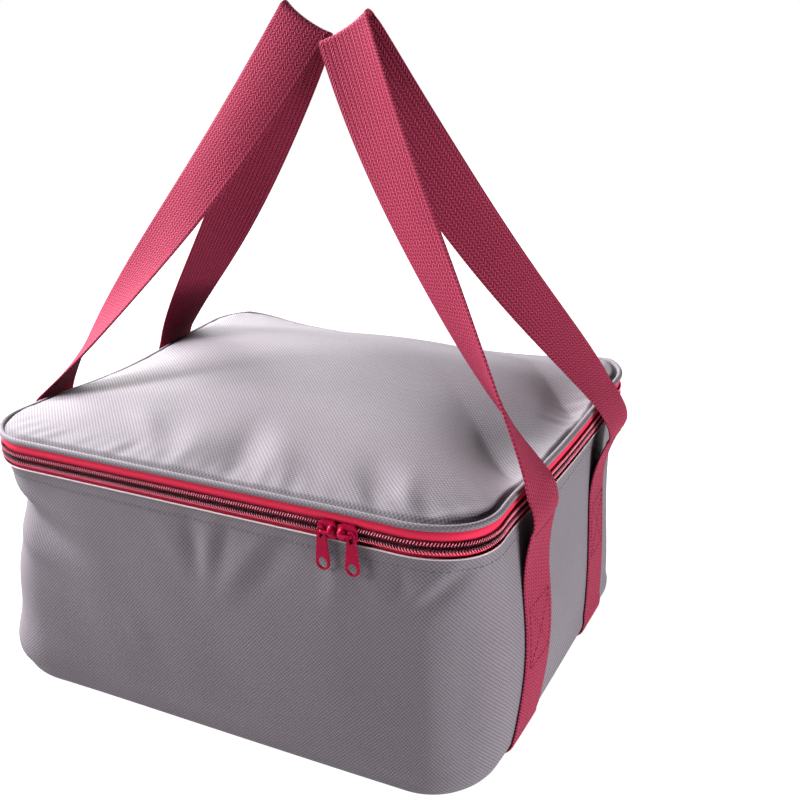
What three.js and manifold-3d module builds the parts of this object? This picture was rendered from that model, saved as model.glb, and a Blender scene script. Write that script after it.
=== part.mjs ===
// Camping dish storage bag: a soft square bag with a zipped lid and two webbing handles.
// Millimetres, +Z up. The origin is the middle of the base, on the floor; the front faces -Y.
import * as THREE from 'three';
import { mergeVertices } from 'three/addons/utils/BufferGeometryUtils.js';
import Module from 'manifold-3d';

// Bag body
const RIM_WIDTH = 340;
const RIM_DEPTH = 298;
const RIM_CORNER = 42;
const WALL_HEIGHT = 158;
const WALL_BULGE = 3.5;
const WALL_BULGE_LOWNESS = 1.4;
const BASE_EDGE = 12;
const FABRIC = 1.2;
const GAP = 0.3;

// Zip: two tapes, each with a coil along its edge, and a slit between the coils
const TAPE = 0.8;
const TAPE_LAP = 10;
const LOWER_TAPE_SHOWN = 3.4;
const UPPER_TAPE_SHOWN = 4.9;
const COIL_WIDTH = 3.2;
const COIL_DEPTH = 2.4;
const COIL_CHAMFER = 0.7;
const COIL_SLIT = 1.2;

// Lid with its piped edge
const LID_CROWN = 15;
const LID_SWELL = 3;
const PIPING_SLEEVE = 0.6;
const PIPING_CORD_RADIUS = 1.5;
const PIPING_OUTSET = 0.2;
const PIPING_TAIL = 7;
const PIPING_TAIL_DROP = 0.9;
const BINDING = 0.5;
const BINDING_WRAP = 4;
const SEAM_BINDING_WIDTH = 8;
const BACK_BINDING_WIDTH = 16;

// Sliders and their pulls
const SLIDER_LENGTH = 11.6;
const SLIDER_FROM_CORNER = 32.5;
const SLIDER_SPACE = 0.5;
const SLIDER_PLATE = 1.3;
const SLIDER_FLANGE = 0.8;
const SLIDER_ROUNDING = 2.2;
const SLIDER_BLADE = 0.6;
const SLIDER_BLADE_LENGTH = 4.5;
const CROWN_HEIGHT = 3.3;
const CROWN_HALF_WIDTH = 3.7;
const BRIDGE_RADIUS = 0.9;
const BRIDGE_BEND = 1.1;
const BRIDGE_FROM_END = 2.8;
const PULL = 1.2;
const PULL_LENGTH = 26.4;
const PULL_WIDTH = 8.8;
const PULL_EYE_LENGTH = 6;
const PULL_EYE_RIM = 1.2;
const PULL_EYE_PLAY = 0.4;
const PULL_HOLE_WIDTH = 5.8;
const PULL_HOLE_LENGTH = 6.6;

// Webbing: four sewn strips and the two loops that rise from them
const WEB = 1.6;
const WEB_WIDTH = 38;
const STRAP_SPACING = 140;
const STRAP_FOOT = 5;
const STRAP_BELOW_RIM = 8;
const LOOP_MEET_X = 8.2;
const LEFT_LOOP_RISE = 256.4;
const RIGHT_LOOP_RISE = 252.2;
const LEFT_LOOP_REARWARD = 18.3;
const RIGHT_LOOP_REARWARD = -0.4;
const LOOP_OUTSWEEP = 34;
const LOOP_KNEE = 18.6;
const LEFT_LOOP_DRIFT = -11.5;
const RIGHT_LOOP_DRIFT = -28;
const LEFT_FRONT_DRAW = 205;
const LEFT_REAR_DRAW = 200;
const RIGHT_FRONT_DRAW = 189;
const RIGHT_REAR_DRAW = 168;
const FOLD_RADIUS = 4;
const FOLD_OPENING = THREE.MathUtils.degToRad(12);
const FOLD_TURN = THREE.MathUtils.degToRad(1);
const TWIST_START = 0.25;
const REAR_TWIST_HASTE = 0.6;

// Fineness of the facets
const CORNER_STEPS = 8;
const SIDE_STEPS = 4;
const WALL_STEPS = 8;
const EDGE_STEPS = 4;
const LID_RINGS = 8;
const PIPING_STEPS = 10;
const CORD_SIDES = 8;
const LEG_STEPS = 24;
const FOLD_STEPS = 6;
const CROWN_STEPS = 6;
const BRIDGE_STEPS = 16;
const ROUND_STEPS = 5;

// Heights and offsets that follow from the driving dimensions
const HALF_WIDTH = RIM_WIDTH / 2;
const HALF_DEPTH = RIM_DEPTH / 2;
const STRAIGHT_X = HALF_WIDTH - RIM_CORNER;
const STRAIGHT_Y = HALF_DEPTH - RIM_CORNER;
const TAPE_OUT = -FABRIC - GAP;
const TAPE_IN = TAPE_OUT - TAPE;
const COIL_IN = TAPE_OUT + GAP;
const COIL_OUT = COIL_IN + COIL_DEPTH;
const COIL_EDGE = COIL_SLIT / 2 + COIL_WIDTH;
const ZIP_MID = WALL_HEIGHT + LOWER_TAPE_SHOWN + COIL_EDGE;
const SLEEVE_BORE = PIPING_CORD_RADIUS + GAP;
const SLEEVE_RADIUS = SLEEVE_BORE + PIPING_SLEEVE;
const TAPE_TOP = ZIP_MID + COIL_EDGE + UPPER_TAPE_SHOWN;
const PIPING_Z = TAPE_TOP - GAP + SLEEVE_RADIUS;
const TAIL_END = PIPING_OUTSET - SLEEVE_RADIUS - PIPING_TAIL;
const TAIL_TOP = PIPING_Z - PIPING_TAIL_DROP + PIPING_SLEEVE + GAP / 2;
const LID_EDGE = PIPING_OUTSET - SLEEVE_RADIUS - GAP;
const LID_UNDERSIDE = TAIL_TOP + GAP + BINDING + GAP;
const STRAP_TOP = WALL_HEIGHT - STRAP_BELOW_RIM;
const LOOP_SPREAD = WEB_WIDTH / 2;

const materials = {
  grey: new THREE.MeshStandardMaterial({ color: 0x8f8a90, roughness: 0.85, metalness: 0 }),
  tape: new THREE.MeshStandardMaterial({ color: 0xc4213f, roughness: 0.75, metalness: 0 }),
  coil: new THREE.MeshStandardMaterial({ color: 0x57121f, roughness: 0.45, metalness: 0 }),
  webbing: new THREE.MeshStandardMaterial({ color: 0xa93553, roughness: 0.7, metalness: 0 }),
  slider: new THREE.MeshStandardMaterial({ color: 0xa80e30, roughness: 0.3, metalness: 0.2 }),
  binding: new THREE.MeshStandardMaterial({ color: 0x5d595e, roughness: 0.9, metalness: 0 }),
  cord: new THREE.MeshStandardMaterial({ color: 0xd8d6d2, roughness: 0.9, metalness: 0 }),
};

const bag = new THREE.Group();

function addPiece(name, geometry, material, parent = bag) {
  const mesh = new THREE.Mesh(geometry, material);
  mesh.name = name;
  parent.add(mesh);
  return mesh;
}

// A closed body from points and triangles, turned so that its faces point outwards.
function closedBody(points, triangles) {
  let volume = 0;
  const cross = new THREE.Vector3();
  for (const [a, b, c] of triangles) {
    volume += points[a].dot(cross.crossVectors(points[b], points[c]));
  }
  const wound = volume < 0 ? triangles.map(([a, b, c]) => [a, c, b]) : triangles;
  const geometry = new THREE.BufferGeometry().setFromPoints(points);
  geometry.setIndex(wound.flat());
  geometry.computeVertexNormals();
  return geometry;
}

// A skin over rings of equally many points. An open row of rings is capped with the ring's own outline.
// The second half of each ring is split along the other diagonal, so that the two faces of a thin
// strip stay parallel where the strip twists.
function skinRings(rings, closed, outline) {
  const count = rings[0].length;
  const triangles = [];
  const spans = closed ? rings.length : rings.length - 1;
  for (let i = 0; i < spans; i++) {
    const here = i * count;
    const there = ((i + 1) % rings.length) * count;
    for (let j = 0; j < count; j++) {
      const next = (j + 1) % count;
      if (j < count / 2) {
        triangles.push([here + j, there + next, here + next], [here + j, there + j, there + next]);
      } else {
        triangles.push([here + j, there + j, here + next], [here + next, there + j, there + next]);
      }
    }
  }
  if (!closed) {
    const last = (rings.length - 1) * count;
    for (const [a, b, c] of THREE.ShapeUtils.triangulateShape(outline, [])) {
      triangles.push([a, b, c], [last + a, last + c, last + b]);
    }
  }
  return closedBody(rings.flat(), triangles);
}

// Places along the rim, from the back left corner round the front to the back right corner.
// Each has a point on the rim and the direction that points out of the bag there.
function rimPlaces(sideSteps = 1) {
  const centres = [[-1, 1], [-1, -1], [1, -1], [1, 1]];
  const places = [];
  centres.forEach(([sx, sy], corner) => {
    for (let i = 0; i <= CORNER_STEPS; i++) {
      const angle = (Math.PI / 2) * (1 + corner + i / CORNER_STEPS);
      const nx = Math.cos(angle);
      const ny = Math.sin(angle);
      const x = sx * STRAIGHT_X + nx * RIM_CORNER;
      const y = sy * STRAIGHT_Y + ny * RIM_CORNER;
      if (i === 0 && corner > 0) {
        const from = places[places.length - 1];
        for (let k = 1; k < sideSteps; k++) {
          const share = k / sideSteps;
          places.push({ x: from.x + (x - from.x) * share, y: from.y + (y - from.y) * share, nx, ny });
        }
      }
      places.push({ x, y, nx, ny });
    }
  });
  return places;
}

function atRim(place, outset, z) {
  return new THREE.Vector3(place.x + place.nx * outset, place.y + place.ny * outset, z);
}

// Carries a section, given as [outset from the rim, height] pairs, along the rim.
function carryRound(section, places, closed) {
  const outline = section.map(([outset, z]) => new THREE.Vector2(outset, z));
  if (THREE.ShapeUtils.isClockWise(outline)) outline.reverse();
  const rings = places.map((place) => outline.map((point) => atRim(place, point.x, point.y)));
  return skinRings(rings, closed, outline);
}

function boxSection(inner, outer, low, high) {
  return [[inner, low], [outer, low], [outer, high], [inner, high]];
}

// How far the wall stands out of the rim at a height: a slow swell that is fullest low down.
function wallSwell(z) {
  const share = THREE.MathUtils.clamp((z - BASE_EDGE) / (WALL_HEIGHT - BASE_EDGE), 0, 1);
  return WALL_BULGE * Math.sin(Math.PI * (1 - share) ** WALL_BULGE_LOWNESS);
}

// The wall's outer face from the base seam up to the hem, moved outwards by an offset.
function wallFace(offset) {
  const radius = BASE_EDGE + offset;
  const face = [];
  for (let i = 0; i < EDGE_STEPS; i++) {
    const angle = (Math.PI / 2) * (i / EDGE_STEPS);
    face.push([-BASE_EDGE + radius * Math.sin(angle), BASE_EDGE - radius * Math.cos(angle)]);
  }
  for (let i = 0; i <= WALL_STEPS; i++) {
    const z = BASE_EDGE + (WALL_HEIGHT - BASE_EDGE) * (i / WALL_STEPS);
    face.push([wallSwell(z) + offset, z]);
  }
  return face;
}

function makeWallBand() {
  const section = [...wallFace(0), ...wallFace(-FABRIC).reverse()];
  addPiece('wall_band', carryRound(section, rimPlaces(), true), materials.grey);
}

function makeBase() {
  const places = rimPlaces();
  const outline = places.map((place) => atRim(place, -BASE_EDGE - GAP, 0));
  const shape = new THREE.Shape(outline.map((point) => new THREE.Vector2(point.x, point.y)));
  const panel = new THREE.ExtrudeGeometry(shape, { depth: FABRIC, bevelEnabled: false });
  addPiece('base_panel', panel, materials.grey);
  const seat = FABRIC + GAP;
  const edge = -BASE_EDGE - GAP;
  const tape = boxSection(edge - SEAM_BINDING_WIDTH, edge, seat, seat + BINDING);
  addPiece('base_seam_binding', carryRound(tape, places, true), materials.binding);
}

// A strip that lies along the wall, on one side of the bag: straight across, bent up the wall's face.
function wallStrip(face, thickness, width, toWorld) {
  const rings = [];
  const halves = [-width / 2, width / 2];
  const outline = [[halves[0], 0], [halves[1], 0], [halves[1], thickness], [halves[0], thickness]];
  face.forEach(([outset, z], i) => {
    const before = face[Math.max(i - 1, 0)];
    const after = face[Math.min(i + 1, face.length - 1)];
    const along = new THREE.Vector2(after[0] - before[0], after[1] - before[1]).normalize();
    rings.push(outline.map(([across, lift]) =>
      toWorld(across, outset + along.y * lift, z - along.x * lift)));
  });
  return skinRings(rings, false, outline.map(([a, b]) => new THREE.Vector2(a, b)));
}

// The part of a face that lies between two heights, with its ends cut at those heights.
function faceBetween(face, low, high) {
  const outsetAt = (z) => {
    const above = face.findIndex((point) => point[1] >= z);
    const [u0, z0] = face[above - 1];
    const [u1, z1] = face[above];
    return u0 + (u1 - u0) * ((z - z0) / (z1 - z0));
  };
  const inside = face.filter(([, z]) => z > low + GAP && z < high - GAP);
  return [[outsetAt(low), low], ...inside, [outsetAt(high), high]];
}

function makeBackSeam() {
  const face = faceBetween(wallFace(-FABRIC - GAP - BINDING), BASE_EDGE, WALL_HEIGHT - TAPE_LAP - GAP);
  const toWorld = (across, outset, z) => new THREE.Vector3(across, HALF_DEPTH + outset, z);
  addPiece('back_seam_binding', wallStrip(face, BINDING, BACK_BINDING_WIDTH, toWorld), materials.binding);
}

function makeStraps() {
  const face = faceBetween(wallFace(GAP), STRAP_FOOT, STRAP_TOP - GAP / 2);
  for (const [side, sx] of [['left', -1], ['right', 1]]) {
    for (const [end, sy] of [['front', -1], ['rear', 1]]) {
      const toWorld = (across, outset, z) =>
        new THREE.Vector3(sx * (HALF_WIDTH + outset), sy * (STRAP_SPACING / 2) + across, z);
      addPiece(`strap_${side}_${end}`, wallStrip(face, WEB, WEB_WIDTH, toWorld), materials.webbing);
    }
  }
}

// The coil's section: a bar with its outer edges taken off. sign is +1 above the slit and -1 below it.
function coilSection(sign) {
  const near = COIL_SLIT / 2;
  const section = [
    [COIL_IN, near],
    [COIL_OUT - COIL_CHAMFER, near],
    [COIL_OUT, near + COIL_CHAMFER],
    [COIL_OUT, COIL_EDGE - COIL_CHAMFER],
    [COIL_OUT - COIL_CHAMFER, COIL_EDGE],
    [COIL_IN, COIL_EDGE],
  ];
  return section.map(([outset, rise]) => [outset, ZIP_MID + sign * rise]);
}

function makeZip() {
  const places = rimPlaces();
  const lowerTape = boxSection(TAPE_IN, TAPE_OUT, WALL_HEIGHT - TAPE_LAP, ZIP_MID - COIL_SLIT / 2);
  addPiece('lower_zip_tape', carryRound(lowerTape, places, false), materials.tape);
  addPiece('lower_zip_coil', carryRound(coilSection(-1), places, false), materials.coil);
  const upperTape = [
    [TAPE_OUT, ZIP_MID + COIL_SLIT / 2],
    [TAPE_OUT, TAPE_TOP],
    [TAIL_END, TAPE_TOP],
    [TAIL_END, TAPE_TOP - TAPE],
    [TAPE_IN, TAPE_TOP - TAPE],
    [TAPE_IN, ZIP_MID + COIL_SLIT / 2],
  ];
  addPiece('upper_zip_tape', carryRound(upperTape, places, false), materials.tape);
  addPiece('upper_zip_coil', carryRound(coilSection(1), places, false), materials.coil);
}

// The strip of fabric that joins wall and lid along the back, between the ends of the zip.
function makeHingeStrip() {
  const end = STRAIGHT_X - GAP;
  const places = [1, -1].map((sx) => ({ x: sx * end, y: HALF_DEPTH, nx: 0, ny: 1 }));
  const section = boxSection(TAPE_IN, TAPE_OUT, WALL_HEIGHT - TAPE_LAP, TAPE_TOP);
  addPiece('hinge_strip', carryRound(section, places, false), materials.grey);
}

// The lid's fabric: rings of the rim's plan, drawn in to the middle and raised towards it.
function makeLidPanel() {
  const places = rimPlaces(SIDE_STEPS);
  const count = places.length;
  const points = [];
  const triangles = [];
  for (const lift of [FABRIC, 0]) {
    for (let ring = 0; ring < LID_RINGS; ring++) {
      const share = 1 - ring / LID_RINGS;
      const z = LID_UNDERSIDE + LID_CROWN * (1 - share ** LID_SWELL) + lift;
      for (const place of places) {
        const edge = atRim(place, LID_EDGE, 0);
        points.push(new THREE.Vector3(edge.x * share, edge.y * share, z));
      }
    }
    points.push(new THREE.Vector3(0, 0, LID_UNDERSIDE + LID_CROWN + lift));
  }
  const under = LID_RINGS * count + 1;
  for (let j = 0; j < count; j++) {
    const next = (j + 1) % count;
    for (let ring = 0; ring < LID_RINGS - 1; ring++) {
      const [a, b] = [ring * count + j, ring * count + next];
      const [c, d] = [a + count, b + count];
      triangles.push([a, b, d], [a, d, c]);
      triangles.push([under + a, under + d, under + b], [under + a, under + c, under + d]);
    }
    const inner = (LID_RINGS - 1) * count;
    triangles.push([inner + j, inner + next, LID_RINGS * count]);
    triangles.push([under + inner + j, under + LID_RINGS * count, under + inner + next]);
    triangles.push([j, under + next, next], [j, under + j, under + next]);
  }
  addPiece('lid_panel', closedBody(points, triangles), materials.grey);
}

// The piping: a strip folded round a cord, its two tails sewn into the seam inside the piping.
function makePiping() {
  const places = rimPlaces();
  const tails = PIPING_Z - PIPING_TAIL_DROP;
  const onCircle = (radius, rise) => Math.atan2(rise, -Math.sqrt(radius ** 2 - rise ** 2));
  const arc = (radius, from, to) => {
    const turn = [];
    for (let i = 0; i <= PIPING_STEPS; i++) {
      const angle = from + (to - from) * (i / PIPING_STEPS);
      turn.push([PIPING_OUTSET + radius * Math.cos(angle), PIPING_Z + radius * Math.sin(angle)]);
    }
    return turn;
  };
  const inner = GAP / 2;
  const outer = inner + PIPING_SLEEVE;
  const full = 2 * Math.PI;
  const wrap = (radius, rise) => (onCircle(radius, rise) + full) % full;
  const outside = arc(
    SLEEVE_RADIUS,
    wrap(SLEEVE_RADIUS, outer - PIPING_TAIL_DROP),
    wrap(SLEEVE_RADIUS, -outer - PIPING_TAIL_DROP) - full,
  );
  const inside = arc(
    SLEEVE_BORE,
    wrap(SLEEVE_BORE, -inner - PIPING_TAIL_DROP) - full,
    wrap(SLEEVE_BORE, inner - PIPING_TAIL_DROP),
  );
  const sleeve = [
    [TAIL_END, tails + outer],
    ...outside,
    [TAIL_END, tails - outer],
    [TAIL_END, tails - inner],
    ...inside,
    [TAIL_END, tails + inner],
  ];
  addPiece('lid_piping', carryRound(sleeve, places, true), materials.grey);
  const cord = [];
  for (let i = 0; i < CORD_SIDES; i++) {
    const angle = full * (i / CORD_SIDES);
    cord.push([
      PIPING_OUTSET + PIPING_CORD_RADIUS * Math.cos(angle),
      PIPING_Z + PIPING_CORD_RADIUS * Math.sin(angle),
    ]);
  }
  addPiece('lid_piping_cord', carryRound(cord, places, true), materials.cord);
}

// The tape that binds the raw edges of the lid's seam: a channel that opens outwards.
function makeLidBinding() {
  const back = TAIL_END - GAP;
  const front = back + BINDING_WRAP;
  const low = TAPE_TOP - TAPE - GAP;
  const high = TAIL_TOP + GAP;
  const section = [
    [front, low - BINDING],
    [front, low],
    [back, low],
    [back, high],
    [front, high],
    [front, high + BINDING],
    [back - BINDING, high + BINDING],
    [back - BINDING, low - BINDING],
  ];
  addPiece('lid_seam_binding', carryRound(section, rimPlaces(), true), materials.binding);
}

const wasm = await Module();
wasm.setup();

function toSolid(geometry) {
  const bare = geometry.clone();
  bare.deleteAttribute('normal');
  bare.deleteAttribute('uv');
  const merged = mergeVertices(bare.index ? bare.toNonIndexed() : bare);
  return new wasm.Manifold(new wasm.Mesh({
    numProp: 3,
    vertProperties: new Float32Array(merged.attributes.position.array),
    triVerts: new Uint32Array(merged.index.array),
  }));
}

function fromSolid(solid) {
  const mesh = solid.getMesh();
  const geometry = new THREE.BufferGeometry();
  geometry.setAttribute('position', new THREE.BufferAttribute(new Float32Array(mesh.vertProperties), 3));
  geometry.setIndex(new THREE.BufferAttribute(new Uint32Array(mesh.triVerts), 1));
  geometry.computeVertexNormals();
  return geometry;
}

function roundedPlate(length, width, rounding, thickness) {
  const [a, b] = [length / 2 - rounding, width / 2 - rounding];
  const shape = new THREE.Shape();
  const quarter = Math.PI / 2;
  [[a, b], [-a, b], [-a, -b], [a, -b]].forEach(([x, y], turn) => {
    shape.absarc(x, y, rounding, turn * quarter, (turn + 1) * quarter);
  });
  return new THREE.ExtrudeGeometry(shape, {
    depth: thickness,
    bevelEnabled: false,
    curveSegments: ROUND_STEPS,
  });
}

// Slider sizes, in a frame with x along the zip towards the pull, y up the wall and z out of it.
const PLATE_LOW = COIL_OUT + GAP;
const PLATE_TOP = PLATE_LOW + SLIDER_PLATE;
const FLANGE_IN = COIL_EDGE + GAP;
const SLIDER_HALF_WIDTH = FLANGE_IN + SLIDER_FLANGE;
const BRIDGE_POST_X = SLIDER_LENGTH / 2 - BRIDGE_FROM_END;
const PULL_LOW = PLATE_TOP + GAP;
const BRIDGE_Z = PULL_LOW + PULL + GAP + BRIDGE_RADIUS;
const EYE_RADIUS = BRIDGE_RADIUS + PULL_EYE_PLAY;
const EYE_END = EYE_RADIUS + PULL_EYE_RIM;

function sliderSolid() {
  const outerPlate = roundedPlate(SLIDER_LENGTH, SLIDER_HALF_WIDTH * 2, SLIDER_ROUNDING, SLIDER_PLATE);
  outerPlate.translate(0, 0, PLATE_LOW);
  let solid = toSolid(outerPlate);
  const innerTop = TAPE_IN - GAP;
  const innerPlate = roundedPlate(SLIDER_LENGTH, COIL_EDGE * 2, SLIDER_ROUNDING, SLIDER_PLATE);
  innerPlate.translate(0, 0, innerTop - SLIDER_PLATE);
  solid = solid.add(toSolid(innerPlate));

  // The blade that parts the coils joins the two plates through the slit.
  const bladeHeight = PLATE_TOP - innerTop + SLIDER_PLATE;
  const blade = new THREE.BoxGeometry(SLIDER_BLADE_LENGTH, SLIDER_BLADE, bladeHeight);
  const bladeX = (SLIDER_BLADE_LENGTH - SLIDER_LENGTH) / 2 + SLIDER_FLANGE;
  blade.translate(bladeX, 0, PLATE_TOP - bladeHeight / 2);
  solid = solid.add(toSolid(blade));

  // The flanges turn in over the outer edges of the coils.
  const flangeLength = SLIDER_LENGTH - 2 * SLIDER_ROUNDING;
  const flangeDepth = PLATE_TOP - COIL_IN;
  for (const sy of [-1, 1]) {
    const flange = new THREE.BoxGeometry(flangeLength, SLIDER_FLANGE, flangeDepth);
    flange.translate(0, sy * (FLANGE_IN + SLIDER_FLANGE / 2), PLATE_TOP - flangeDepth / 2);
    solid = solid.add(toSolid(flange));
  }

  // The domed crown over the shoulder end, and the bridge that runs from it to its own post.
  const crownReach = (SLIDER_LENGTH / 2 + BRIDGE_POST_X - EYE_END - PULL_EYE_PLAY) / 2;
  const crownX = crownReach - SLIDER_LENGTH / 2;
  const profile = [new THREE.Vector2(0, 0)];
  for (let i = 0; i <= CROWN_STEPS; i++) {
    const angle = (Math.PI / 2) * (i / CROWN_STEPS);
    profile.push(new THREE.Vector2(i === CROWN_STEPS ? 0 : Math.cos(angle), Math.sin(angle)));
  }
  const crown = new THREE.LatheGeometry(profile, 2 * CORNER_STEPS);
  crown.rotateX(Math.PI / 2);
  crown.scale(crownReach, CROWN_HALF_WIDTH, CROWN_HEIGHT + GAP);
  crown.translate(crownX, 0, PLATE_TOP - GAP);
  solid = solid.add(toSolid(crown));

  const route = new THREE.CurvePath();
  const bendStart = new THREE.Vector3(BRIDGE_POST_X - BRIDGE_BEND, 0, BRIDGE_Z);
  const bendCorner = new THREE.Vector3(BRIDGE_POST_X, 0, BRIDGE_Z);
  const bendEnd = new THREE.Vector3(BRIDGE_POST_X, 0, BRIDGE_Z - BRIDGE_BEND);
  route.add(new THREE.LineCurve3(new THREE.Vector3(crownX, 0, BRIDGE_Z), bendStart));
  route.add(new THREE.QuadraticBezierCurve3(bendStart, bendCorner, bendEnd));
  route.add(new THREE.LineCurve3(bendEnd, new THREE.Vector3(BRIDGE_POST_X, 0, PLATE_TOP - GAP)));
  const round = new THREE.Shape().absarc(0, 0, BRIDGE_RADIUS, 0, 2 * Math.PI);
  const bridge = new THREE.ExtrudeGeometry(round, {
    extrudePath: route,
    steps: BRIDGE_STEPS,
    curveSegments: ROUND_STEPS,
  });
  return solid.add(toSolid(bridge));
}

// The pull: an oblong tab, widest at its lower end, with a slot for the bridge's post and a finger hole.
function pullGeometry() {
  const foot = PULL_WIDTH / 2;
  const footY = EYE_END - PULL_LENGTH + foot;
  const shape = new THREE.Shape();
  shape.absarc(0, 0, EYE_END, 0, Math.PI);
  shape.absarc(0, footY, foot, Math.PI, 2 * Math.PI);
  const slotEnd = 2 * EYE_RADIUS - PULL_EYE_LENGTH;
  const slot = new THREE.Path();
  slot.absarc(0, 0, EYE_RADIUS, 0, Math.PI);
  slot.absarc(0, slotEnd, EYE_RADIUS, Math.PI, 2 * Math.PI);
  const hole = new THREE.Path();
  hole.absellipse(0, footY, PULL_HOLE_WIDTH / 2, PULL_HOLE_LENGTH / 2, 0, 2 * Math.PI, false, 0);
  shape.holes.push(slot, hole);
  const tab = new THREE.ExtrudeGeometry(shape, {
    depth: PULL,
    bevelEnabled: false,
    curveSegments: ROUND_STEPS,
  });
  return fromSolid(toSolid(tab.translate(0, 0, PULL_LOW)));
}

function makeSliders() {
  const meet = STRAIGHT_X - SLIDER_FROM_CORNER;
  const slider = fromSolid(sliderSolid());
  const pull = pullGeometry();
  for (const [side, sx] of [['left', -1], ['right', 1]]) {
    const seat = new THREE.Group();
    const middle = meet + sx * (SLIDER_SPACE + SLIDER_LENGTH) / 2;
    seat.position.set(middle, -HALF_DEPTH, ZIP_MID);
    seat.rotation.x = Math.PI / 2;
    bag.add(seat);
    const body = addPiece(`slider_${side}`, slider, materials.slider, seat);
    body.rotation.z = sx < 0 ? Math.PI : 0;
    const tab = addPiece(`pull_${side}`, pull, materials.slider, seat);
    tab.position.x = sx * BRIDGE_POST_X;
  }
}

// Stations of one webbing loop: a middle point, the direction of travel and the direction across.
function loopStations({ sx, rise, rearward: apexY, drift, frontDraw, rearDraw }) {
  const hingeX = sx * (HALF_WIDTH + wallSwell(STRAP_TOP) + GAP + WEB / 2);
  const apex = new THREE.Vector3(LOOP_MEET_X + sx * LOOP_SPREAD, apexY, WALL_HEIGHT + rise);
  const lean = new THREE.Vector3(apex.x - hingeX, 0, apex.z - STRAP_TOP).normalize();
  const tilt = new THREE.Vector3(-lean.z, 0, lean.x);
  const foldTwist = Math.PI / 2 - FOLD_TURN;
  const crease = new THREE.Vector3(0, Math.cos(foldTwist), 0).addScaledVector(tilt, Math.sin(foldTwist));
  const rearward = new THREE.Vector3(0, 1, 0).addScaledVector(crease, -crease.y).normalize();
  const upward = new THREE.Vector3().crossVectors(crease, rearward);
  if (upward.z < 0) upward.negate();
  const centre = apex.clone().addScaledVector(upward, -FOLD_RADIUS);
  const foldPoint = (angle) => centre.clone()
    .addScaledVector(rearward, FOLD_RADIUS * Math.sin(angle))
    .addScaledVector(upward, FOLD_RADIUS * Math.cos(angle));
  const foldWay = (angle) => rearward.clone().multiplyScalar(Math.cos(angle))
    .addScaledVector(upward, -Math.sin(angle));
  const foldEnd = Math.PI / 2 - FOLD_OPENING;

  const legStations = (sy) => {
    const foot = new THREE.Vector3(hingeX, sy * STRAP_SPACING / 2, STRAP_TOP + WEB / 2);
    const knee = foot.clone().add(new THREE.Vector3(sx * LOOP_OUTSWEEP, 0, LOOP_KNEE));
    const top = foldPoint(sy * foldEnd);
    const arrive = foldWay(sy * foldEnd).multiplyScalar(-sy);
    const draw = top.clone().addScaledVector(arrive, sy < 0 ? -frontDraw : -rearDraw);
    draw.y += drift;
    const curve = new THREE.CubicBezierCurve3(foot, knee, draw, top);
    const twist = Math.PI / 2 + sy * FOLD_TURN;
    const haste = sy < 0 ? 1 : REAR_TWIST_HASTE;
    const stations = [];
    for (let i = 0; i <= LEG_STEPS; i++) {
      const share = i / LEG_STEPS;
      const twisting = THREE.MathUtils.clamp((share - TWIST_START) / (1 - TWIST_START), 0, 1);
      const angle = twist * (1 - (1 - twisting) ** haste);
      const along = curve.getTangent(share);
      const across = new THREE.Vector3(0, -sy * Math.cos(angle), 0).addScaledVector(tilt, Math.sin(angle));
      across.addScaledVector(along, -across.dot(along)).normalize();
      stations.push({ point: curve.getPoint(share), along, across });
    }
    return stations;
  };

  const fold = [];
  for (let i = 1; i < FOLD_STEPS; i++) {
    const angle = foldEnd * (2 * i / FOLD_STEPS - 1);
    fold.push({ point: foldPoint(angle), along: foldWay(angle), across: crease });
  }
  const rear = legStations(1).reverse();
  rear.forEach((station) => station.along.negate());
  return [...legStations(-1), ...fold, ...rear];
}

function makeHandles() {
  const loops = {
    handle_left: {
      sx: -1,
      rise: LEFT_LOOP_RISE,
      rearward: LEFT_LOOP_REARWARD,
      drift: LEFT_LOOP_DRIFT,
      frontDraw: LEFT_FRONT_DRAW,
      rearDraw: LEFT_REAR_DRAW,
    },
    handle_right: {
      sx: 1,
      rise: RIGHT_LOOP_RISE,
      rearward: RIGHT_LOOP_REARWARD,
      drift: RIGHT_LOOP_DRIFT,
      frontDraw: RIGHT_FRONT_DRAW,
      rearDraw: RIGHT_REAR_DRAW,
    },
  };
  const corners = [[-1, -1], [1, -1], [1, 1], [-1, 1]];
  const outline = corners.map(([a, b]) => new THREE.Vector2(a, b));
  for (const [name, loop] of Object.entries(loops)) {
    const rings = loopStations(loop).map(({ point, along, across }) => {
      const facing = new THREE.Vector3().crossVectors(along, across).normalize();
      return corners.map(([a, b]) => point.clone()
        .addScaledVector(across, a * WEB_WIDTH / 2)
        .addScaledVector(facing, b * WEB / 2));
    });
    addPiece(name, skinRings(rings, false, outline), materials.webbing);
  }
}

makeWallBand();
makeBase();
makeBackSeam();
makeStraps();
makeZip();
makeHingeStrip();
makeLidPanel();
makePiping();
makeLidBinding();
makeSliders();
makeHandles();

export default bag;
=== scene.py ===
"""Camping dish storage bag: cloth, zip, webbing and light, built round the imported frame.

Metres, +Z up, the front faces -Y. Wall places are given as (run, height): run is the length along the
rim from the middle of the front, to the right above zero and to the left below it.
"""

from functools import partial

import bmesh
import bpy
import numpy as np
from bpy.props import FloatProperty, FloatVectorProperty, PointerProperty
from mathutils import Matrix, Vector


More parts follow.
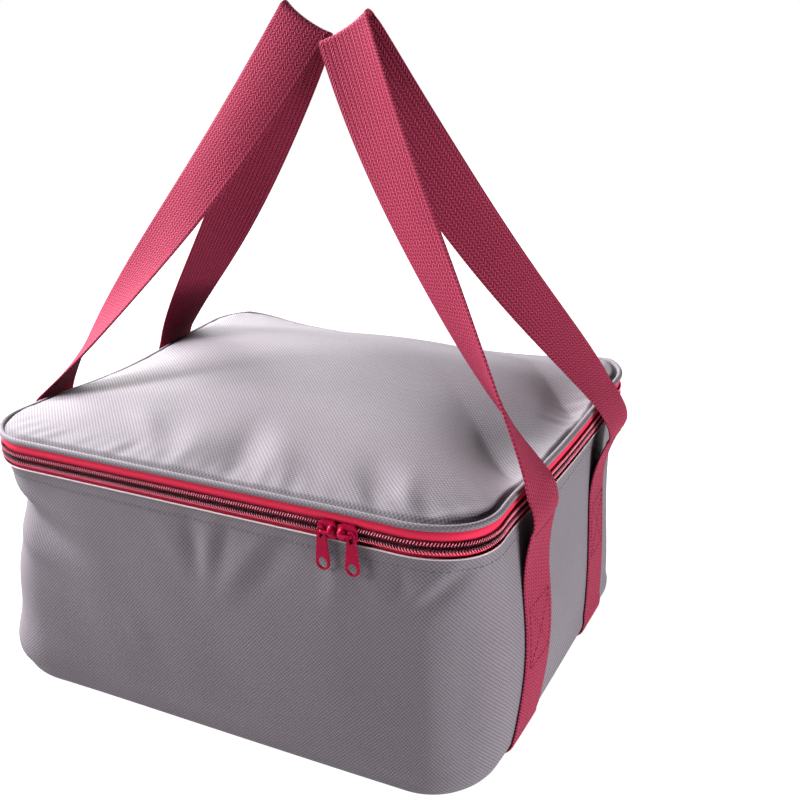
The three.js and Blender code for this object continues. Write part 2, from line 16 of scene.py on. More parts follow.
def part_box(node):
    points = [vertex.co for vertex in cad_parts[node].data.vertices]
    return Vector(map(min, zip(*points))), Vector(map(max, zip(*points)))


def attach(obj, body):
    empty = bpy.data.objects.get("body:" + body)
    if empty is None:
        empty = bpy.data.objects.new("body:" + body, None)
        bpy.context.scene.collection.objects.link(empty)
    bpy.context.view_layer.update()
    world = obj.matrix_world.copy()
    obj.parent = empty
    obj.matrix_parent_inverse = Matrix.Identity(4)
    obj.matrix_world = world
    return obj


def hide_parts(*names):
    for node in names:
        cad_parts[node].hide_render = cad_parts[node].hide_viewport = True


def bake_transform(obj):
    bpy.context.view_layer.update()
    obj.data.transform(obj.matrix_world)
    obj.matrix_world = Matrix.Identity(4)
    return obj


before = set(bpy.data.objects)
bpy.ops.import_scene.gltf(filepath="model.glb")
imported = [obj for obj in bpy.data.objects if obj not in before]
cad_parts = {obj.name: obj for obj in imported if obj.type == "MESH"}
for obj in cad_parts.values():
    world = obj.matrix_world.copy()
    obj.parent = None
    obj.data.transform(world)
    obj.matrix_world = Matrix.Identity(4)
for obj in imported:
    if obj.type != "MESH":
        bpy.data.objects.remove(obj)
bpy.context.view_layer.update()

bl_info = {
    "name": "Camping dish storage bag",
    "version": (1, 0, 0),
    "blender": (4, 5, 0),
    "location": "View3D > Sidebar > Dish bag",
    "description": "Builds the cloth, zip and webbing of a camping dish storage bag on its frame",
    "category": "Add Mesh",
}

MM = 0.001

# The frame's own sizes, which the looks keep to
HALF_WIDTH = 170 * MM
HALF_DEPTH = 149 * MM
CORNER = 42 * MM
HEM = 159 * MM
BASE_EDGE = 12 * MM
SWELL = 3.5 * MM
GAP = 0.3 * MM
TAPE_OUTSET = -1.5 * MM
ZIP_MID = 165.2 * MM
COIL_EDGE = 3.8 * MM
TAPE_TOP = 175 * MM
PIPING_OUTSET = -0.5 * MM
PIPING_Z = 176.6 * MM
PIPING_RADIUS = 1.9 * MM
CORD_RADIUS = 1.3 * MM
LID_OUTSET = -1.7 * MM
LID_EDGE_Z = 178.1 * MM
STRAP_Y = 70 * MM
STRAP_TOP = 150 * MM
STRAP_SLACK = 9.5 * MM
STRAP_FREE = 105 * MM
HINGE_X = 171.3 * MM

# The free loops: where their folds stand, and how each leg leaves its strip, is drawn to its fold and twists;
# -1 is the front leg and 1 the rear one
LOOP_MEET_X = 8.2 * MM
LOOP_SPREAD = 19 * MM
LOOP_FROM = 158 * MM
LOOP_RISE = {"left": 256.4 * MM, "right": 252.2 * MM}
LOOP_REARWARD = {"left": 18.3 * MM, "right": -0.4 * MM}
LOOP_DRIFT = {"left": -11.5 * MM, "right": -28 * MM}
LOOP_DRAW = {"left": {-1: 205 * MM, 1: 200 * MM}, "right": {-1: 189 * MM, 1: 168 * MM}}
LOOP_SWEEP = np.array([14, 0, 24]) * MM
FOLD_RADIUS = 4 * MM
FOLD_OPENING = np.radians(12)
FOLD_TURN = np.radians(1)
TWIST_START = {-1: 0.2, 1: 0.25}
TWIST_HASTE = {-1: 1.2, 1: 0.6}

# The camera, in a frame of 800 pixels
CAMERA_PLACE = (0.36621, -0.59975, 0.44019)
CAMERA_RIGHT = Vector((0.89247614, 0.45045897, -0.02393838))
CAMERA_UP = Vector((-0.14209567, 0.33110128, 0.9328348))
FOCAL_PIXELS = 1113.05
FRAME_PIXELS = 800
SENSOR_WIDTH = 36.0

# Seams and sewing
SEAM_ALLOWANCE = 10 * MM
HEM_BAND = 151 * MM
HEM_RAMP = 2 * MM
HEM_STEP = 0.35 * MM
HEM_LIP = 0.6 * MM
HEM_STITCH_Z = 151.6 * MM
HEM_STITCH_PITCH = 3.6 * MM
HEM_STITCH_LENGTH = 3 * MM
HEM_THREAD = 0.28 * MM
BOX_HALF = 14.5 * MM
BOX_LOW = 62 * MM
BOX_HIGH = 102 * MM
BOX_THREAD = 0.26 * MM
TACK_Z = 148 * MM
STITCH_STEP = 1.15
BINDING = 0.5 * MM

# The zip's tapes, one of its teeth and the stitch that holds it
TAPE_FOOT = 148 * MM
TAPE_PARTING = 0.6 * MM
TAPE_BELLY = 1.7 * MM
TOOTH_FROM = 0.35 * MM
TOOTH_LENGTH = 3.3 * MM
TOOTH_HALF = 0.5 * MM
TOOTH_DEEP = 0.95 * MM
TOOTH_LEAN = 0.35 * MM
TOOTH_OUTSET = -0.35 * MM
ZIP_STITCH_LENGTH = 2.6 * MM
ZIP_STITCH_RISE = 2.5 * MM
ZIP_STITCH_OUTSET = 0.55 * MM
ZIP_THREAD = 0.22 * MM

# Where the back's upper edge hangs loose: from here on in y and in z, over this reach, within this half
# width; and the height from which the drape takes hold, with its reach
SAG_FROM = np.array([20, 30]) * MM
SAG_REACH = np.array([120, 130]) * MM
SAG_HALF = 155 * MM
DRAPE_FROM = 100 * MM
DRAPE_REACH = 60 * MM

# Small forms of the cloth and the webbing
WALL_WAVE = 0.45 * MM
LID_STAND = 0.6 * MM
LID_PUCKER = 0.22 * MM
LID_GROOVE = 2.6 * MM
STRAP_FOOT = np.radians(34)
WEB_CURL = 1.6 * MM

# The rim's line: its straight runs and quarter turns, from the middle of the back
STRAIGHT_X = HALF_WIDTH - CORNER
STRAIGHT_Y = HALF_DEPTH - CORNER
QUARTER = CORNER * np.pi / 2
RIM_RUNS = np.array([STRAIGHT_X, QUARTER, 2 * STRAIGHT_Y, QUARTER, 2 * STRAIGHT_X,
                     QUARTER, 2 * STRAIGHT_Y, QUARTER, STRAIGHT_X])
RIM_LENGTH = RIM_RUNS.sum()
RIM_KNOTS = np.concatenate([[0], np.cumsum(RIM_RUNS)]) - RIM_LENGTH / 2
RIM_TURNS = np.pi / 2 * np.array([1, 1, 2, 2, 3, 3, 4, 4, 5, 5])
RIM_X = STRAIGHT_X * np.array([0, -1, -1, -1, -1, 1, 1, 1, 1, 0])
RIM_Y = STRAIGHT_Y * np.array([1, 1, 1, -1, -1, -1, -1, 1, 1, 1])
ZIP_END = RIM_LENGTH / 2 - STRAIGHT_X
SIDE_MIDDLE = STRAIGHT_X + QUARTER + STRAIGHT_Y

# Soft forms, in millimetres: where a ridge starts and ends, how wide it is on its left and its right, and its
# height, below zero for a hollow.
WALL_FOLDS = [
    (-218, 128, -122, 124, 36, 34, -11.0),
    (-218, 24, -118, 20, 20, 22, 8.5),
    (-168, 152, -104, 130, 6, 5, 3.4),
    (-162, 134, -98, 112, 7, 6, -3.6),
    (-166, 116, -106, 96, 8, 8, 2.8),
    (-30, 148, -4, 110, 9, 7, 1.2),
    (-7, 156, 0, 118, 7, 6, -1.7),
    (11, 155, 4, 106, 7, 7, 1.6),
    (23, 157, 14, 126, 5, 5, -1.3),
    (47, 151, 14, 104, 9, 8, 1.6),
    (63, 155, 34, 115, 8, 7, -1.5),
    (97, 152, 88, 116, 7, 7, 1.4),
    (122, 160, 117, 128, 5, 5, 1.5),
    (128, 160, 130, 126, 5, 5, -1.6),
    (130, 126, 158, 156, 5, 5, 1.8),
    (134, 120, 170, 160, 6, 6, -2.0),
    (-58, 80, -45, 52, 9, 8, 0.9),
    (133, 4, 131, 126, 42, 9, -3.0),
    (-70, 16, 60, 12, 10, 12, 1.2),
    (162, 6, 162, 118, 40, 24, -8.0),
    (241, 16, 241, 150, 60, 70, 6.0),
    (440, 10, 440, 156, 95, 95, -9.0),
    (-301, 20, -301, 150, 84, 84, 5.0),
]
HOLLOW_POWER = 1.2
LID_HOLLOWS = [
    (186, -90, 108, -8, 18, 44, -15.0),
    (196, -2, 126, 84, 20, 34, -14.0),
]
LID_FOLDS = [
    (-168, -92, -60, -32, 10, 16, -2.5),
    (2, -60, 16, 130, 100, 70, 8.0),
    (-78, -98, -38, -142, 14, 12, 3.8),
    (-72, -112, -34, -150, 8, 10, -3.2),
    (8, -92, 32, -160, 15, 12, -3.4),
    (-26, -108, 0, -156, 14, 13, 3.2),
    (20, -96, 64, -150, 13, 13, 2.9),
    (34, -126, 76, -152, 11, 9, -2.5),
    (60, -110, 120, -150, 11, 10, 2.2),
    (92, -100, 122, -152, 9, 9, -1.7),
    (118, -110, 136, -152, 7, 7, 2.0),
    (138, -150, 168, -110, 4, 4, 1.3),
    (156, -142, 177, -120, 4, 4, -1.3),
    (-60, 98, 120, 108, 9, 12, 2.2),
]

# Where the rim has sagged or been pushed, in millimetres: the middle of the place, its reach in x and in y,
# and its shift.
DRAPE = [
    (-175, 0, 50, 75, 0, 0, -6.0),
    (175, -10, 45, 110, 1.0, 0, -6.0),
    (164, -136, 26, 30, 4.5, -1.0, 0),
]


def smooth(share):
    """Rises from 0 to 1 with level ends: 3 t squared less 2 t cubed of the share, held to 0..1."""
    t = np.clip(share, 0, 1)
    return t * t * (3 - 2 * t)


def unit(vectors):
    """The same directions with length one."""
    return vectors / np.linalg.norm(vectors, axis=-1, keepdims=True)


def folds(a, b, table, power=2):
    """Sum of long soft ridges: each is its height times a bell across its line, of its own width on
    either side, times a bell along the line. A power of 2 gives soft swells, and less gives creases."""
    a0, b0, a1, b1, left, right, height = np.array(table).T * MM
    da, db = a1 - a0, b1 - b0
    length = np.hypot(da, db)
    pa, pb = a[..., None] - a0, b[..., None] - b0
    along = (pa * da + pb * db) / length**2
    side = (pa * db - pb * da) / length
    width = np.where(side < 0, left, right)
    return (height * np.exp(-(np.abs(side / width) ** power) - (2 * along - 1) ** 2)).sum(-1)


def ripple(run, seed, low, high, count):
    """Sum of count waves round the rim with seeded phases and whole numbers of turns from low to high."""
    rng = np.random.default_rng(seed)
    turns = rng.integers(low, high, count)
    phase = rng.uniform(0, 2 * np.pi, count)
    waves = np.sin(2 * np.pi * turns * run[..., None] / RIM_LENGTH + phase)
    return waves.sum(-1) / np.sqrt(count)


def rim_runs(count):
    """Runs of so many places all round the rim, from the middle of the back."""
    return np.linspace(-RIM_LENGTH / 2, RIM_LENGTH / 2, count + 1)[:-1]


def full_turn(count):
    """So many even angles round a circle."""
    return np.arange(count) * 2 * np.pi / count


def circle(outset, height, radius, count):
    """A round section of (outset, height) pairs."""
    turn = full_turn(count)
    return np.stack([outset + radius * np.cos(turn), height + radius * np.sin(turn)], -1)


def on_rim(run, outset, height):
    """Points of the rounded oblong rim: corner centre plus (corner radius + outset) along the outward
    direction, which turns only in the corners."""
    run, outset, height = np.broadcast_arrays(run, outset, height)
    wrapped = (run + RIM_LENGTH / 2) % RIM_LENGTH - RIM_LENGTH / 2
    turn = np.interp(wrapped, RIM_KNOTS, RIM_TURNS)
    reach = CORNER + outset
    x = np.interp(wrapped, RIM_KNOTS, RIM_X) + reach * np.cos(turn)
    y = np.interp(wrapped, RIM_KNOTS, RIM_Y) + reach * np.sin(turn)
    return np.stack([x, y, height], -1)


def rim_frame(run):
    """Directions along the rim and out of it at each run."""
    turn = np.interp(run, RIM_KNOTS, RIM_TURNS)
    flat = np.zeros_like(turn)
    out = np.stack([np.cos(turn), np.sin(turn), flat], -1)
    along = np.stack([-np.sin(turn), np.cos(turn), flat], -1)
    return along, out


def settle(points):
    """Lets the back's upper edge down and in between its corners, most at its middle and fading towards
    the front, the corners and the base; then moves each place of the drape by its shift times a bell
    about its middle, which fades below the hem."""
    shape = bpy.context.scene.dish_bag_cloth
    x, z = points[..., 0], points[..., 2]
    weight = smooth((points[..., 1:] - SAG_FROM) / SAG_REACH).prod(-1)
    weight = weight * (1 - np.clip(np.abs(x) / SAG_HALF, 0, 1) ** 4)
    drop = np.stack([0 * x, -shape.back_draw * weight, -shape.back_drop * weight], -1)
    places = np.array(DRAPE) * MM
    bell = np.exp(-(((points[..., None, :2] - places[:, :2]) / places[:, 2:4]) ** 2).sum(-1))
    loose = smooth((z - DRAPE_FROM) / DRAPE_REACH)
    return points + drop + bell @ places[:, 4:] * loose[..., None]


def wall_outset(run, height):
    """How far the wall's outer face stands out of the rim: a swell that is fullest low down, plus the
    folds and small waves, which die out at the base seam and at the hem, plus the hem's two steps."""
    share = np.clip((height - BASE_EDGE) / (HEM - BASE_EDGE), 0, 1)
    swell = SWELL * np.sin(np.pi * (1 - share) ** 1.4)
    free = smooth(height / (20 * MM)) * (1 - np.clip(height / HEM, 0, 1) ** 36)
    waves = WALL_WAVE * ripple(run + 0.3 * height, 3, 5, 26, 7) * np.sin(np.pi * share)
    strength = bpy.context.scene.dish_bag_cloth.fold_strength
    band = HEM_STEP * smooth((height - HEM_BAND) / HEM_RAMP)
    hem = band + HEM_LIP * smooth((height - HEM) / HEM_RAMP + 1)
    return swell + free * (strength * folds(run, height, WALL_FOLDS) + waves) + hem


def lid_height(share, run, x, y):
    """The lid's upper face: a crown that falls by a power of the share from middle to edge, folds,
    puckers along the seam, and a last dip into the groove beside the piping."""
    cloth = bpy.context.scene.dish_bag_cloth
    crown = cloth.lid_crown * (1 - share**2.6)
    free = 1 - share**14
    puckers = LID_PUCKER * ripple(run, 11, 40, 100, 9) * np.exp(-(((share - 0.94) / 0.06) ** 2))
    groove = -LID_GROOVE * smooth((share - 0.974) / 0.024)
    soft = folds(x, y, LID_HOLLOWS, HOLLOW_POWER) + folds(x, y, LID_FOLDS)
    return LID_EDGE_Z + LID_STAND + crown + cloth.fold_strength * free * soft + puckers + groove


def two_faces(face, other):
    """A closed section: one face, then the other one back again."""
    return np.concatenate([face, other[..., ::-1, :]], -2)


def grid_faces(rows, cols, wrap=(0, 0)):
    """Corner numbers of the quads over a grid of points, and each corner's (row, column)."""
    i, j = np.meshgrid(np.arange(rows - 1 + wrap[0]), np.arange(cols - 1 + wrap[1]), indexing="ij")
    corners = np.stack([(i, j), (i, j + 1), (i + 1, j + 1), (i + 1, j)], -1).reshape(2, -1, 4)
    return corners[0] % rows * cols + corners[1] % cols, corners


def cap_faces(count):
    """Quads that close a ring of an even count of points, taken across it from side to side."""
    k = np.arange(count // 2 - 1)
    return np.stack([k, k + 1, count - 2 - k, count - 1 - k], -1)


def put_mesh(name, points, faces, lengths, finish, body=None):
    """A new piece from points, quads and the corner lengths of its UV map, with its faces outwards."""
    mesh = bpy.data.meshes.new(name)
    mesh.vertices.add(len(points))
    mesh.vertices.foreach_set("co", points.astype(np.float32).ravel())
    mesh.loops.add(faces.size)
    mesh.loops.foreach_set("vertex_index", faces.astype(np.int32).ravel())
    mesh.polygons.add(len(faces))
    mesh.polygons.foreach_set("loop_start", np.arange(0, faces.size, 4, dtype=np.int32))
    mesh.update(calc_edges=True)
    mesh.uv_layers.new(name="lengths").data.foreach_set("uv", lengths.astype(np.float32).ravel())
    shell = bmesh.new()
    shell.from_mesh(mesh)
    bmesh.ops.recalc_face_normals(shell, faces=shell.faces)
    shell.to_mesh(mesh)
    shell.free()
    mesh.shade_smooth()
    mesh.materials.append(finish)
    piece = bpy.data.objects.new(name, mesh)
    bpy.context.scene.collection.objects.link(piece)
    if body:
        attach(piece, body)
    return piece


def path_lengths(points, wrap=True):
    """Running length along a row of points, with the closing step where it wraps."""
    ring = np.concatenate([points, points[:1]]) if wrap else points
    steps = np.linalg.norm(np.diff(ring, axis=0), axis=-1)
    return np.concatenate([[0], np.cumsum(steps)])


def sweep(name, points, along, girth, finish, body=None, ends=None):
    """A piece from a grid of points, a closed section at each step of a path; its UV map is (along, girth).
    The path closes on itself, or is capped where the flat places of its two end sections are given."""
    rows, cols = points.shape[:2]
    faces, (i, j) = grid_faces(rows, cols, (int(ends is None), 1))
    lengths = np.stack([along[i], girth[j]], -1)
    if ends is not None:
        cap = cap_faces(cols)
        faces = np.concatenate([faces, cap, cap + (rows - 1) * cols])
        lengths = np.concatenate([lengths, ends[0][cap], ends[1][cap]])
    return put_mesh(name, points.reshape(-1, 3), faces, lengths, finish, body)


def carry(name, run, section, finish, body, closed=True):
    """A closed section of (outset, height) pairs carried along the rim, the same all along or one for
    each run, and settled with it."""
    section = np.broadcast_to(section, (len(run), *np.shape(section)[-2:]))
    points = settle(on_rim(run[:, None], section[..., 0], section[..., 1]))
    along = np.append(run, run[0] + RIM_LENGTH) if closed else run
    ends = None if closed else (section[0], section[-1])
    return sweep(name, points, along, path_lengths(section[0]), finish, body, ends)


def tubes(name, rings, finish, body=None):
    """Many like tubes with closed ends from an array of (tube, ring, side) points; the UV map is
    (length share, girth share) in millimetres."""
    count, rows, cols = rings.shape[:3]
    faces, (i, j) = grid_faces(rows, cols, (0, 1))
    lengths = np.stack([i / rows, j / cols], -1) * MM
    cap = cap_faces(cols)
    faces = np.concatenate([faces, cap, cap + (rows - 1) * cols])
    lengths = np.concatenate([lengths, np.zeros((2 * len(cap), 4, 2))])
    every = (faces[None] + rows * cols * np.arange(count)[:, None, None]).reshape(-1, 4)
    return put_mesh(name, rings.reshape(-1, 3), every, np.tile(lengths, (count, 1, 1)), finish, body)


def stitch_rings(middle, along, out, length, radius):
    """Rings of sewn stitches: each thread lies along its direction, its line dips into the cloth at
    both ends by the fourth power of the way, and it thins there."""
    way = np.linspace(-1, 1, 7)
    rise = radius * (0.7 - 1.6 * way**4)
    thick = radius * (1 - 0.6 * way**4)
    turn = full_turn(6)
    side = np.cross(along, out)
    line = middle[:, None] + along[:, None] * (length / 2 * way)[:, None] + out[:, None] * rise[:, None]
    ring = side[:, None, None] * np.cos(turn)[:, None] + out[:, None, None] * np.sin(turn)[:, None]
    return line[:, :, None] + ring * thick[:, None, None]


def panel_grid(outset, count):
    """A square grid laid over the rim's plan: each square ring goes to a smaller copy of the rim, so
    there is no pole. Returns share from the middle, run and plan points."""
    line = np.sin(np.linspace(-1.2, 1.2, count)) / np.sin(1.2)
    u, v = np.meshgrid(line, line, indexing="ij")
    share = np.maximum(np.abs(u), np.abs(v))
    safe = np.maximum(share, 1e-9)
    a, b = u / safe, v / safe
    corner = STRAIGHT_X + QUARTER / 2
    wide = np.abs(v) >= np.abs(u)
    run = np.select(
        [wide & (v < 0), wide, u > 0],
        [a * corner, RIM_LENGTH / 2 - a * corner, SIDE_MIDDLE + b * (SIDE_MIDDLE - corner)],
        -SIDE_MIDDLE - b * (SIDE_MIDDLE - corner),
    )
    plan = on_rim(run, outset, 0 * run)[..., :2] * share[..., None]
    return share, run, plan


def panel(name, plan, top, bottom, finish, body):
    """A cloth panel from a grid of plan points with its upper and lower heights, closed round its edge.
    Its UV map is the plan."""
    rows, cols = top.shape
    faces, _ = grid_faces(rows, cols)
    count = rows * cols
    number = np.arange(count).reshape(rows, cols)
    edge = np.concatenate([number[0, :-1], number[:-1, -1], number[-1, :0:-1], number[:0:-1, 0]])
    following = np.roll(edge, -1)
    rim = np.stack([edge, following, following + count, edge + count], -1)
    every = np.concatenate([faces, faces[:, ::-1] + count, rim])
    points = np.concatenate([np.dstack([plan, height]).reshape(-1, 3) for height in (top, bottom)])
    lengths = np.tile(plan.reshape(-1, 2), (2, 1))[every]
    return put_mesh(name, settle(points), every, lengths, finish, body)


# Finishes


def plug(tree, node, values):
    """Gives each named input of a node its value or its link."""
    for key, value in values.items():
        if isinstance(value, bpy.types.NodeSocket):
            tree.links.new(value, node.inputs[key])
        else:
            node.inputs[key].default_value = value


def add(tree, kind, values=None, **settings):
    """A new node with its settings, and a value or a link for each named input."""
    node = tree.nodes.new(kind)
    for key, value in settings.items():
        setattr(node, key, value)
    plug(tree, node, values or {})
    return node


def maths(tree, operation, a, b=0.0, c=0.0):
    """The output of one Math node."""
    return add(tree, "ShaderNodeMath", {0: a, 1: b, 2: c}, operation=operation).outputs[0]


def wave(tree, value, pitch):
    """Half plus half the sine of a length taken in pitches."""
    angle = maths(tree, "MULTIPLY", maths(tree, "DIVIDE", value, pitch), 2 * np.pi)
    return maths(tree, "MULTIPLY_ADD", maths(tree, "SINE", angle), 0.5, 0.5)


def noise(tree, vector, scale, detail):
    """The value of a noise of that scale and detail."""
    return add(tree, "ShaderNodeTexNoise", {"Vector": vector, "Scale": scale, "Detail": detail}).outputs[0]


def bump(tree, height, strength, distance):
    """The normal that a height gives."""
    values = {"Height": height, "Strength": strength, "Distance": distance}
    return add(tree, "ShaderNodeBump", values).outputs[0]


def new_group(name, inputs, outputs):
    """An empty shader group with its sockets, what it is given and the node that takes what it gives."""
    tree = bpy.data.node_groups.new(name, "ShaderNodeTree")
    for way, sockets in (("INPUT", inputs), ("OUTPUT", outputs)):
        for label, kind in sockets.items():
            tree.interface.new_socket(label, in_out=way, socket_type=f"NodeSocket{kind}")
    return tree, add(tree, "NodeGroupInput").outputs, add(tree, "NodeGroupOutput")


def cloth_weave_group():
    """Diagonal ribs crossed by finer threads, unevenly spun, as a height and a shade; the shade is painted
    shade, darker where the weave lies low.
    """
    tree, given, gives = new_group(
        "Cloth weave", {"Lengths": "Vector", "Pitch": "Float"}, {"Height": "Float", "Shade": "Float"})
    spun = noise(tree, given["Lengths"], scale=900.0, detail=2.0)
    shift = maths(tree, "MULTIPLY", spun, maths(tree, "MULTIPLY", given["Pitch"], 0.7))
    way = add(tree, "ShaderNodeSeparateXYZ", {0: given["Lengths"]}).outputs
    rising = maths(tree, "ADD", maths(tree, "ADD", way[0], way[1]), shift)
    falling = maths(tree, "SUBTRACT", way[0], way[1])
    rib = wave(tree, rising, maths(tree, "MULTIPLY", given["Pitch"], 1.2))
    thread = wave(tree, falling, maths(tree, "MULTIPLY", given["Pitch"], 1.1))
    height = maths(tree, "MULTIPLY_ADD", thread, 0.45, maths(tree, "MULTIPLY", rib, 0.55))
    # The shade paints the weave's low places darker: painted shade between ribs and threads
    plug(tree, gives, {"Height": height, "Shade": maths(tree, "MULTIPLY_ADD", height, 0.8, 0.6)})
    return tree


def webbing_weave_group():
    """Columns of slanted picks that lean left and right in turn, with a groove between columns; the grooves
    and low picks are painted darker as painted shade.
    """
    tree, given, gives = new_group(
        "Webbing weave", {"Lengths": "Vector", "Row": "Float", "Column": "Float"},
        {"Height": "Float", "Shade": "Float"})
    way = add(tree, "ShaderNodeSeparateXYZ", {0: given["Lengths"]}).outputs
    lean = maths(tree, "PINGPONG", way[1], given["Column"])
    pick = wave(tree, maths(tree, "MULTIPLY_ADD", lean, 1.1, way[0]), given["Row"])
    double = maths(tree, "MULTIPLY", given["Column"], 2.0)
    angle = maths(tree, "MULTIPLY", maths(tree, "DIVIDE", way[1], double), 2 * np.pi)
    column = maths(tree, "POWER", maths(tree, "ABSOLUTE", maths(tree, "SINE", angle)), 0.5)
    height = maths(tree, "MULTIPLY", column, maths(tree, "MULTIPLY_ADD", pick, 0.7, 0.3))
    # The shade paints the grooves and low picks darker: painted shade
    plug(tree, gives, {"Height": height, "Shade": maths(tree, "MULTIPLY_ADD", height, 1.4, 0.34)})
    return tree


def tone_group():
    """A colour made uneven by slow clouds and fine specks, as use and dust leave it."""
    tree, given, gives = new_group(
        "Uneven tone", {"Colour": "Color", "Shade": "Float", "Clouds": "Float", "Specks": "Float"},
        {"Colour": "Color"})
    place = add(tree, "ShaderNodeTexCoord").outputs["Object"]

    def drift(scale, detail, amount):
        """A noise about nought, times an amount."""
        about = maths(tree, "SUBTRACT", noise(tree, place, scale, detail), 0.5)
        return maths(tree, "MULTIPLY", about, amount)

    change = maths(tree, "ADD", drift(14.0, 3.0, given["Clouds"]), drift(1400.0, 1.0, given["Specks"]))
    level = maths(tree, "MULTIPLY", given["Shade"], maths(tree, "ADD", change, 1.0))
    shaded = add(tree, "ShaderNodeVectorMath", {0: given["Colour"], 3: level}, operation="SCALE")
    plug(tree, gives, {"Colour": shaded.outputs[0]})
    return tree


def group(name, tree, values):
    """The outputs of a shared effect, built once, placed in a material with its own values."""
    makers = {"Cloth weave": cloth_weave_group, "Webbing weave": webbing_weave_group,
              "Uneven tone": tone_group}
    effect = bpy.data.node_groups.get(name) or makers[name]()
    return add(tree, "ShaderNodeGroup", values, node_tree=effect).outputs


def uneven(tree, colour, shade, clouds, specks):
    """A shaded colour made uneven."""
    values = {"Colour": (*colour, 1), "Shade": shade, "Clouds": clouds, "Specks": specks}
    return group("Uneven tone", tree, values)["Colour"]


def new_material(name):
    """A new material, its nodes and its shader."""
    material = bpy.data.materials.new(name)
    material.use_nodes = True
    return material, material.node_tree, material.node_tree.nodes["Principled BSDF"]


def finish(name, colour, values, height, roughness, specular=0.5, clouds=0.16, weave="Cloth weave"):
    """A material: a weave's painted shade and an uneven tone colour it, and the weave's height is its bump.
    """
    known = bpy.data.materials.get(name)
    if known:
        return known
    material, tree, shader = new_material(name)
    material.diffuse_color = (*colour, 1)
    lengths = add(tree, "ShaderNodeUVMap", uv_map="lengths").outputs[0]
    woven = group(weave, tree, {"Lengths": lengths, **values})
    plug(tree, shader, {
        "Base Color": uneven(tree, colour, woven["Shade"], clouds, specks=0.12),
        "Roughness": maths(tree, "MULTIPLY_ADD", woven["Height"], -0.12, roughness + 0.06),
        "Specular IOR Level": specular,
        "Normal": bump(tree, woven["Height"], strength=1.0, distance=height),
    })
    return material


def cloth_finish():
    """Grey polyester cloth with a diagonal rib."""
    cloth = bpy.context.scene.dish_bag_cloth
    return finish("Grey ribbed cloth", cloth.colour, {"Pitch": cloth.weave_pitch},
                  height=0.1 * MM, roughness=0.72, specular=0.15)


def binding_finish():
    """Dark woven tape over raw edges."""
    colour = bpy.context.scene.dish_bag_cloth.binding_colour
    return finish("Dark binding tape", colour, {"Pitch": 0.9 * MM}, height=0.1 * MM, roughness=0.85)


def tape_finish():
    """Close woven red zip tape."""
    colour = bpy.context.scene.dish_bag_zip.tape_colour
    return finish("Red zip tape", colour, {"Pitch": 0.7 * MM}, height=0.08 * MM, roughness=0.8, specular=0.1)


def thread_finish(name, colour):
    """Twisted sewing thread."""
    return finish(name, colour, {"Pitch": 0.25 * MM},
                  height=0.04 * MM, roughness=0.7, specular=0.1, clouds=0.1)


def coil_finish():
    """Smooth dark nylon of the zip's teeth."""
    colour = bpy.context.scene.dish_bag_zip.coil_colour
    return finish("Dark nylon teeth", colour, {"Pitch": 0.4 * MM},
                  height=0.01 * MM, roughness=0.34, specular=0.2, clouds=0.25)


def webbing_finish():
    """Raspberry webbing with slanted picks in columns."""
    web = bpy.context.scene.dish_bag_webbing
    pitches = {"Row": web.row_pitch, "Column": web.column_pitch}
    return finish("Raspberry webbing", web.colour, pitches,
                  height=0.45 * MM, roughness=0.75, specular=0.03, weave="Webbing weave")


def enamel_finish():
    """Glossy red paint on cast metal, a little uneven, with scuffs that dull it."""
    known = bpy.data.materials.get("Red enamel")
    if known:
        return known
    material, tree, shader = new_material("Red enamel")
    place = add(tree, "ShaderNodeTexCoord").outputs["Object"]
    scuff = noise(tree, place, scale=260.0, detail=5.0)
    worn = add(tree, "ShaderNodeMapRange", {"Value": scuff, "From Min": 0.52, "From Max": 0.72}).outputs[0]
    shade = maths(tree, "MULTIPLY_ADD", worn, 0.25, 0.95)
    colour = bpy.context.scene.dish_bag_zip.enamel_colour
    peel = noise(tree, place, scale=900.0, detail=2.0)
    plug(tree, shader, {
        "Base Color": uneven(tree, colour, shade, clouds=0.3, specks=0.1),
        "Roughness": maths(tree, "MULTIPLY_ADD", worn, 0.25, 0.2),
        "Specular IOR Level": 0.05,
        "Normal": bump(tree, peel, strength=0.6, distance=0.03 * MM),
    })
    return material


def floor_finish(colour):
    """Pale seamless paper that glows, very slightly uneven."""
    material, tree, shader = new_material("Pale floor")
    plug(tree, shader, {
        "Base Color": uneven(tree, colour, shade=1.0, clouds=0.02, specks=0.0),
        "Roughness": 0.9,
        "Emission Color": (1, 1, 1, 1),
        "Emission Strength": 1.0,
    })
    return material


# Sizes and colours


LengthProperty = partial(FloatProperty, unit="LENGTH")
PowerProperty = partial(FloatProperty, unit="POWER")
ColourProperty = partial(FloatVectorProperty, subtype="COLOR")


class DishBagCloth(bpy.types.PropertyGroup):
    """Sizes and colours of the cloth body."""

    colour: ColourProperty(
        name="Cloth colour", description="Colour of the ribbed cloth", default=(0.098, 0.0845, 0.098))
    binding_colour: ColourProperty(
        name="Binding colour", description="Colour of the tape inside the seams",
        default=(0.085, 0.078, 0.087))
    # The hem fold's colour is a painted highlight, pale where its top catches the light
    fold_highlight_colour: ColourProperty(
        name="Fold highlight colour", description="Painted highlight colour of the hem's fold", default=(0.36, 0.29, 0.31))
    cord_colour: ColourProperty(
        name="Cord colour", description="Colour of the cord in the piping", default=(0.68, 0.66, 0.62))
    thickness: LengthProperty(
        name="Cloth thickness", description="Thickness of the cloth with its lining", default=1.1 * MM)
    lid_crown: LengthProperty(
        name="Lid crown", description="Rise of the lid above its edge", default=15 * MM)
    back_drop: LengthProperty(
        name="Back drop", description="How far the back's upper edge sags", default=8 * MM)
    back_draw: LengthProperty(
        name="Back draw", description="How far the back's upper edge is drawn in", default=8 * MM)
    fold_strength: FloatProperty(
        name="Fold strength", description="How deep the soft folds are", subtype="FACTOR", default=1.0)
    weave_pitch: LengthProperty(
        name="Rib pitch", description="Distance from rib to rib of the cloth", default=2.1 * MM)


